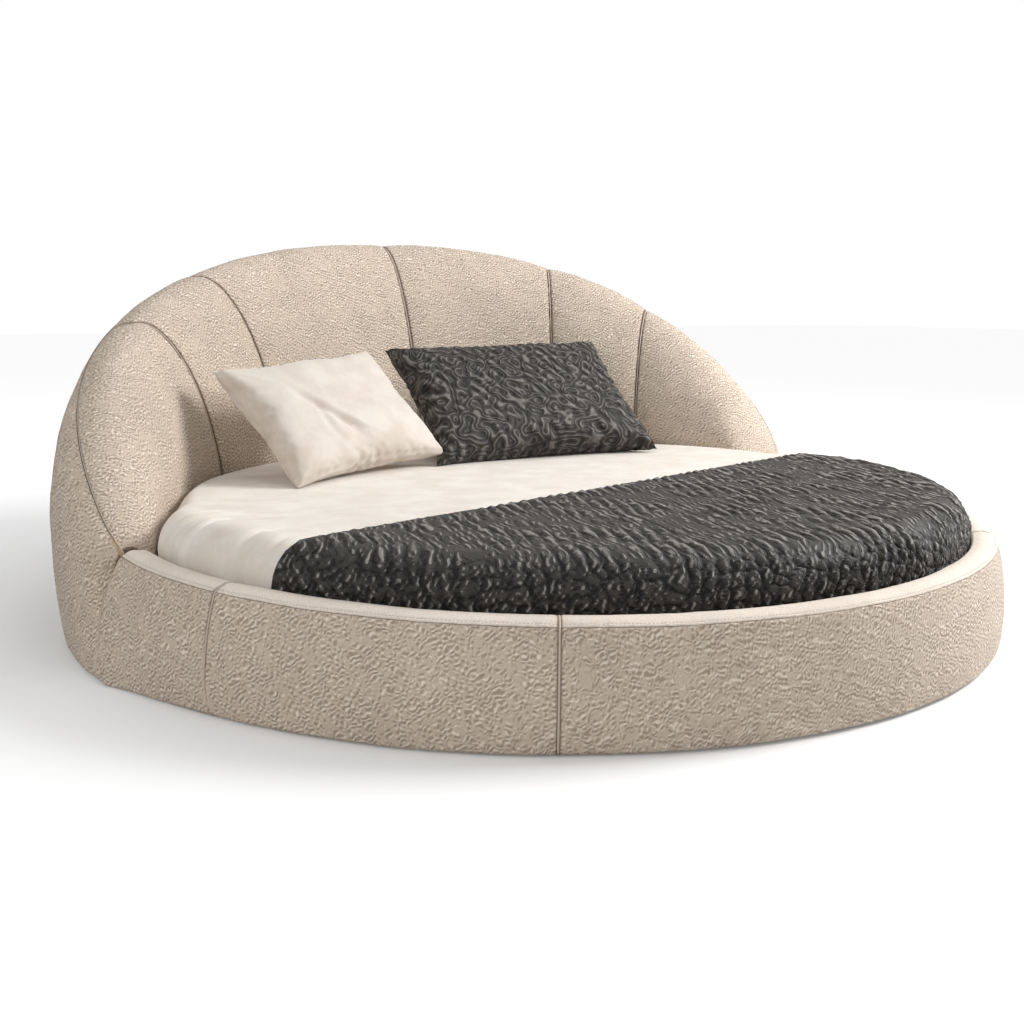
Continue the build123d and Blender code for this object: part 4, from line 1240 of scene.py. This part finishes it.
# the pillow's ridge colour is a painted highlight as well
charcoalPillowFabric = dict(charcoalFabric, warpScale=30.0, warpAmount=0.016, loops=(19.0, 6.4),
                            ridge=(0.175, 0.163, 0.150, 1))


def addedWaves(tree, place, waves):
    # the same sum of waves in nodes
    total = None
    for way, start in waves:
        along = addNode(tree, "ShaderNodeVectorMath", {0: place, 1: tuple(way)},
                        operation="DOT_PRODUCT")
        wave = calc(tree, "SINE", calc(tree, "ADD", along.outputs["Value"], start))
        total = wave if total is None else calc(tree, "ADD", total, wave)
    return calc(tree, "MULTIPLY", total, 1 / math.sqrt(len(waves) / 2))


def quiltCloth(name, settings):
    # dark puckered cloth with thin raised cords, with painted highlight on their tops and painted shade
    # in grooves
    material, tree, shader = newMaterial(name)
    place = objectPlace(tree)
    # painted shade and highlight worked out from the relief
    depth = attribute(tree, "quiltPaintedShading")
    bent = warped(tree, place, settings["warpScale"], settings["warpAmount"])
    if "loops" in settings:             # closed loops instead of straight cords
        scale, turns = settings["loops"]
        swirl = calc(tree, "MULTIPLY", noise(tree, bent, scale), 2 * math.pi * turns)
        field = calc(tree, "MULTIPLY_ADD", calc(tree, "SINE", swirl), 1.35, 0.05)
    else:
        field = addedWaves(tree, bent, settings["cords"])
    line = ramp(tree, field, *settings["lineRange"])
    groove = ramp(tree, field, *settings["grooveRange"])
    fine = noise(tree, place, settings["ribScale"], 2.0)
    # painted highlight along the cords and painted shade in the grooves, added to the painted quilt
    # shading
    level = calc(tree, "MULTIPLY_ADD", line, settings["cordHighlight"], depth)
    level = calc(tree, "MULTIPLY_ADD", groove, settings["grooveShadeLevel"], level)
    low = blendColor(tree, ramp(tree, level, 0.0, 0.50), settings["valleyShade"], settings["middle"])
    top = blendColor(tree, ramp(tree, level, 0.52, 1.0), low, settings["ridge"])
    speckle = ramp(tree, fine, *settings["ribTint"], smooth=False)
    feed(tree, shader.inputs["Base Color"], speckled(tree, top, speckle))
    relief = calc(tree, "MULTIPLY_ADD", groove, settings["grooveBump"], line)
    bumped(tree, shader, calc(tree, "MULTIPLY_ADD", fine, settings["ribBump"], relief),
           settings["bumpStrength"], settings["bumpDistance"])
    coated(shader, settings["roughness"], settings["sheen"], 0.4, 0.35)
    return material


creamFabric = {
    "low": (0.690, 0.618, 0.540, 1), "high": (0.790, 0.735, 0.670, 1),
    "bumpStrength": 0.25, "bumpDistance": 0.0006, "roughness": 0.88, "sheen": 0.30,
}

creamPillowFabric = dict(creamFabric, low=(0.600, 0.530, 0.458, 1), high=(0.690, 0.630, 0.565, 1))


def brushedCloth(name, settings):
    # close soft cloth like suede, with faint clouds where the nap lies another way
    material, tree, shader = newMaterial(name)
    place = objectPlace(tree)
    cloud = noise(tree, warped(tree, place, 6.0, 0.10), 11.0, 4.0)
    streak = noise(tree, warped(tree, place, 20.0, 0.03), 60.0, 2.0)
    grain = noise(tree, place, 1300.0, 1.0)
    tone = calc(tree, "ADD", calc(tree, "MULTIPLY", cloud, 0.8), calc(tree, "MULTIPLY", streak, 0.2))
    color = blendColor(tree, ramp(tree, tone, 0.30, 0.68), settings["low"], settings["high"])
    speckle = ramp(tree, grain, 0.3, 0.7, 0.96, 1.02, smooth=False)
    feed(tree, shader.inputs["Base Color"], speckled(tree, color, speckle))
    bumped(tree, shader, calc(tree, "MULTIPLY_ADD", grain, 0.5, streak),
           settings["bumpStrength"], settings["bumpDistance"])
    coated(shader, settings["roughness"], settings["sheen"], level=0.25)
    return material


warmCloth = ridgedCloth("warmRidgedFabric", warmFabric)
charcoalCloth = quiltCloth("charcoalQuiltedFabric", charcoalFabric)
charcoalPillowCloth = quiltCloth("charcoalPillowFabric", charcoalPillowFabric)
creamCloth = brushedCloth("creamBrushedFabric", creamFabric)
creamPillowCloth = brushedCloth("creamPillowFabric", creamPillowFabric)


# Welts in the seams and stitches along the band, swept and set out by Geometry Nodes.

trimSizes = {
    "weltRadius": 0.0024, "weltSunk": 0.0024, "weltSides": 10, "weltStep": 0.008,
    "stitchSpacing": 0.0078, "stitchLength": 0.0050, "stitchRadius": 0.00055,
}


def newTree(name, inputs):
    tree = bpy.data.node_groups.new(name, "GeometryNodeTree")
    tree.interface.new_socket("Geometry", in_out="INPUT", socket_type="NodeSocketGeometry")
    tree.interface.new_socket("Geometry", in_out="OUTPUT", socket_type="NodeSocketGeometry")
    identifiers = {}
    for label, kind in inputs:
        socket = tree.interface.new_socket(label, in_out="INPUT", socket_type=kind)
        identifiers[label] = socket.identifier
    return tree, tree.nodes.new("NodeGroupInput"), tree.nodes.new("NodeGroupOutput"), identifiers


def closeTree(tree, shape, material, result):
    # one smooth mesh with its material, as the tree's result
    real = addNode(tree, "GeometryNodeRealizeInstances", {0: shape})
    soft = addNode(tree, "GeometryNodeSetShadeSmooth", {0: real.outputs[0]})
    finish = addNode(tree, "GeometryNodeSetMaterial",
                     {"Geometry": soft.outputs[0], "Material": material})
    feed(tree, result.inputs[0], finish.outputs[0])


def weltTree():
    # sweeps a round cord along each line of points
    tree, given, result, identifiers = newTree("weltSweep", [
        ("Radius", "NodeSocketFloat"), ("Sides", "NodeSocketInt"), ("Cloth", "NodeSocketMaterial")])
    given = given.outputs
    line = addNode(tree, "GeometryNodeMeshToCurve", {0: given["Geometry"]})
    ring = addNode(tree, "GeometryNodeCurvePrimitiveCircle",
                   {"Resolution": given["Sides"], "Radius": given["Radius"]})
    sweep = addNode(tree, "GeometryNodeCurveToMesh", {
        "Curve": line.outputs[0], "Profile Curve": ring.outputs["Curve"], "Fill Caps": True})
    closeTree(tree, sweep.outputs[0], given["Cloth"], result)
    return tree, identifiers


def stitchTree():
    # sets a short round stitch at even steps along each line of points
    tree, given, result, identifiers = newTree("stitchRow", [
        ("Spacing", "NodeSocketFloat"), ("Length", "NodeSocketFloat"), ("Radius", "NodeSocketFloat"),
        ("Thread", "NodeSocketMaterial")])
    given = given.outputs
    line = addNode(tree, "GeometryNodeMeshToCurve", {0: given["Geometry"]})
    steps = addNode(tree, "GeometryNodeCurveToPoints", mode="LENGTH")
    feed(tree, steps.inputs["Curve"], line.outputs[0])
    feed(tree, steps.inputs["Length"], given["Spacing"])
    ball = addNode(tree, "GeometryNodeMeshUVSphere", {"Segments": 8, "Rings": 6, "Radius": 1.0})
    half = calc(tree, "MULTIPLY", given["Length"], 0.5)
    size = addNode(tree, "ShaderNodeCombineXYZ", {0: given["Radius"], 1: given["Radius"], 2: half})
    turn = addNode(tree, "FunctionNodeAlignRotationToVector",
                   {"Vector": steps.outputs["Tangent"]}, axis="Z")
    place = addNode(tree, "GeometryNodeInstanceOnPoints", {
        "Points": steps.outputs["Points"], "Instance": ball.outputs["Mesh"],
        "Rotation": turn.outputs[0], "Scale": size.outputs[0]})
    closeTree(tree, place.outputs[0], given["Thread"], result)
    return tree, identifiers


def runTree(name, paths, tree, identifiers, values, body):
    # gives the lines to the tree and keeps the result as a plain mesh
    points, edges = [], []
    for path in paths:
        start = len(points)
        points += [tuple(map(float, p)) for p in path]
        edges += [(start + i, start + i + 1) for i in range(len(path) - 1)]
    mesh = bpy.data.meshes.new(name + "Lines")
    mesh.from_pydata(points, edges, [])
    piece = bpy.data.objects.new(name, mesh)
    scene.collection.objects.link(piece)
    modifier = piece.modifiers.new("tree", "NODES")
    modifier.node_group = tree
    for label, value in values.items():
        modifier[identifiers[label]] = value
    graph = bpy.context.evaluated_depsgraph_get()
    made = bpy.data.meshes.new_from_object(piece.evaluated_get(graph), depsgraph=graph)
    piece.modifiers.clear()
    piece.data = made
    made.name = name
    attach(piece, body)
    return piece


def spacedLine(points, step):
    # the same line with its points at even steps
    length = lineLength(points)
    wanted = np.linspace(0, length[-1], int(length[-1] / step))
    return np.stack([np.interp(wanted, length, points[:, k]) for k in range(3)], axis=-1)


def sunkSection(radius, height, sunk):
    # a section's line moved square to itself
    dr, dz = np.gradient(radius), np.gradient(height)
    length = np.maximum(np.hypot(dr, dz), 1e-9)
    return radius + sunk * dz / length, height - sunk * dr / length


def headboardSeamLine(seam, board, sunk):
    foot, crest = seam
    share = np.linspace(0, 1, 120)
    angle = foot + (crest - foot) * share
    radius, height = facePoint(angle, share, 0, board)
    lowHeight = np.linspace(board["padBottom"] + 0.01, height[0], 30)[:-1]
    turns = np.linspace(0, partingTurn, 30)[1:]
    upRadius, upHeight = backPoint(np.full(turns.shape, float(crest)), turns, 0, board)
    radius = np.concatenate([np.full(lowHeight.shape, radius[0]), radius, upRadius])
    height = np.concatenate([lowHeight, height, upHeight])
    angle = np.concatenate([np.full(lowHeight.shape, float(foot)), angle,
                            np.full(turns.shape, float(crest))])
    radius, height = sunkSection(radius, height, sunk)
    return ringPoints(radius, angle, height)


def partingLine(board, sunk):
    # the seam behind the crest, from arm to arm
    angle = np.linspace(board["leftEnd"] + 0.05, board["rightEnd"] - 0.05, 900)
    radius, height = backPoint(angle, np.full(angle.shape, partingTurn), 0, board)
    radius, height = roundedEnd(angle, radius, height, board)
    return ringPoints(radius - sunk * 0.45, angle, height - sunk * 0.9)


def railSeamLine(cut, settings, sunk):
    # up the wall and, where two rails meet, over the band as well
    radius, height, wallRows, _ = railGrid(np.array([float(cut)]), settings)
    cuts = settings["cuts"]
    last = wallRows + (34 if cuts[0] > cut > cuts[-1] else -2)
    radius, height = radius[0, 3:last], height[0, 3:last]
    level = height + settings["seamHeight"]
    onWall = radius > settings["outerArc"][2][0] - 0.002
    radius = radius + leftFlare(cut, level, leftEndShape) * onWall
    angle = cut - leftSlant(cut, level, leftEndShape) * (cut == cuts[0])
    radius, height = sunkSection(radius, height, -sunk)
    return railPoints(radius, angle, height, settings)


def buildTrim(board, settings, sizes):
    sunk, step = sizes["weltSunk"], sizes["weltStep"]
    tree, identifiers = weltTree()
    values = {"Radius": sizes["weltRadius"], "Sides": sizes["weltSides"], "Cloth": weltCloth}
    seams = [headboardSeamLine(seam, board, sunk) for seam in board["seams"][1:-1]]
    seams = [spacedLine(line, step) for line in seams + [partingLine(board, sunk)]]
    welts = runTree("headboardWelts", seams, tree, identifiers, values, "base")
    cuts = [spacedLine(railSeamLine(cut, settings, sunk), step) for cut in settings["cuts"]]
    welts = runTree("railWelts", cuts, tree, identifiers, values, "base")
    tree, identifiers = stitchTree()
    values = {"Spacing": sizes["stitchSpacing"], "Length": sizes["stitchLength"],
              "Radius": sizes["stitchRadius"], "Thread": threadMaterial}
    stitches = runTree("railStitches", stitchPaths, tree, identifiers, values, "base")


def plainCloth(name, color, darker):
    # close smooth cloth for welts and thread
    material, tree, shader = newMaterial(name)
    place = objectPlace(tree)
    grain = ramp(tree, noise(tree, place, 900.0, 2.0), 0.3, 0.7)
    feed(tree, shader.inputs["Base Color"], blendColor(tree, grain, darker, color))
    bumped(tree, shader, noise(tree, place, 1100.0, 1.0), 0.4, 0.0005)
    coated(shader, 0.9, 0.15, level=0.2)
    return material


def tickingCloth(name):
    # off-white ticking with fine woven stripes
    material, tree, shader = newMaterial(name)
    split = addNode(tree, "ShaderNodeSeparateXYZ", {0: objectPlace(tree)})
    stripe = calc(tree, "SINE", calc(tree, "MULTIPLY", split.outputs[0], 900.0))
    rib = calc(tree, "SINE", calc(tree, "MULTIPLY", split.outputs[1], 700.0))
    weave = calc(tree, "MULTIPLY_ADD", calc(tree, "MULTIPLY", stripe, rib), 0.5, 0.5)
    tone = blendColor(tree, ramp(tree, weave, 0.1, 0.9), (0.62, 0.60, 0.56, 1), (0.76, 0.74, 0.70, 1))
    feed(tree, shader.inputs["Base Color"], tone)
    bumped(tree, shader, weave, 0.3, 0.0006)
    coated(shader, 0.9)
    return material


def sawnWood(name, light, dark, stretch, scale, roughness):
    # grain lines drawn out along the board, with darker streaks and pores
    material, tree, shader = newMaterial(name)
    mapping = addNode(tree, "ShaderNodeMapping", {"Vector": objectPlace(tree), "Scale": stretch})
    bent = warped(tree, mapping.outputs[0], 0.8, 0.5)
    grain = noise(tree, bent, scale, 5.0)
    rings = calc(tree, "SINE", calc(tree, "MULTIPLY", grain, 42.0))
    rings = calc(tree, "MULTIPLY_ADD", rings, 0.5, 0.5)
    pores = noise(tree, mapping.outputs[0], scale * 14, 2.0)
    tone = blendColor(tree, calc(tree, "MULTIPLY", rings, 0.55), light, dark)
    tone = blendColor(tree, ramp(tree, pores, 0.62, 0.75, 0.0, 0.45), tone, dark)
    feed(tree, shader.inputs["Base Color"], tone)
    bumped(tree, shader, calc(tree, "MULTIPLY_ADD", pores, 0.5, rings), 0.25, 0.0004)
    coated(shader, roughness)
    return material


def platedSteel(name):
    # zinc plate with cloudy spangles and fine rubbing
    material, tree, shader = newMaterial(name)
    place = objectPlace(tree)
    cloud, rub = noise(tree, place, 55.0, 3.0), noise(tree, place, 420.0, 2.0)
    tone = blendColor(tree, ramp(tree, cloud, 0.3, 0.7), (0.46, 0.47, 0.49, 1), (0.66, 0.67, 0.69, 1))
    feed(tree, shader.inputs["Base Color"], tone)
    feed(tree, shader.inputs["Roughness"], ramp(tree, rub, 0.3, 0.7, 0.28, 0.48))
    feed(tree, shader.inputs["Metallic"], 1.0)
    bumped(tree, shader, rub, 0.12, 0.0003)
    return material


def mouldedPlastic(name):
    # dark plastic with a fine spark-eroded grain
    material, tree, shader = newMaterial(name)
    place = objectPlace(tree)
    grain, dust = noise(tree, place, 900.0, 2.0), noise(tree, place, 30.0, 3.0)
    tone = blendColor(tree, ramp(tree, dust, 0.4, 0.8), (0.022, 0.022, 0.023, 1),
                      (0.050, 0.049, 0.047, 1))
    feed(tree, shader.inputs["Base Color"], tone)
    bumped(tree, shader, grain, 0.3, 0.0003)
    coated(shader, 0.55)
    return material


weltCloth = plainCloth("warmWeltCloth", (0.62, 0.535, 0.445, 1), (0.47, 0.385, 0.305, 1))
threadMaterial = plainCloth("warmThread", (0.46, 0.375, 0.295, 1), (0.33, 0.26, 0.20, 1))
tickingMaterial = tickingCloth("quiltedTicking")
plyWood = sawnWood("plainPlywood", (0.60, 0.45, 0.29, 1), (0.40, 0.27, 0.15, 1),
                   (9.0, 9.0, 1.6), 1.4, 0.70)
pineWood = sawnWood("planedPine", (0.71, 0.54, 0.33, 1), (0.50, 0.32, 0.16, 1),
                    (1.3, 10.0, 10.0), 1.2, 0.62)
steelPlate = platedSteel("zincPlatedSteel")
darkPlastic = mouldedPlastic("darkMouldedPlastic")


def dressNode(name, node):
    if name in ("ledger_screws", "joint_bolts", "joint_nuts", "joint_plates") or "bracket" in name:
        finish = steelPlate
    elif "glides" in name:
        finish = darkPlastic
    elif name.startswith(("rail_board", "headboard_")):
        finish = plyWood
    else:
        finish = pineWood
    for socket in node.material_slots:
        socket.material = finish


for nodeName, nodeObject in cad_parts.items():
    dressNode(nodeName, nodeObject)
print("stage: frame finishes")

for number in range(1, len(headboard["seams"])):
    buildChannel(number, headboard, channelForm, warmCloth)
buildBackCover(headboard, backForm, warmCloth)
for index in range(len(rails["names"])):
    buildRail(index, rails, warmCloth)
buildTrim(headboard, rails, trimSizes)
print("stage: headboard, rails, welts and stitches")
buildPad(mattress, tickingMaterial)
buildSheet(sheet, mattress, creamCloth)
buildThrow(throw, mattress, charcoalCloth)
print("stage: mattress, sheet and throw")
buildPillow("dark", darkPillow, charcoalPillowCloth, darkRelief)
buildPillow("cream", creamPillow, creamPillowCloth, creamRelief)
print("stage: pillows")
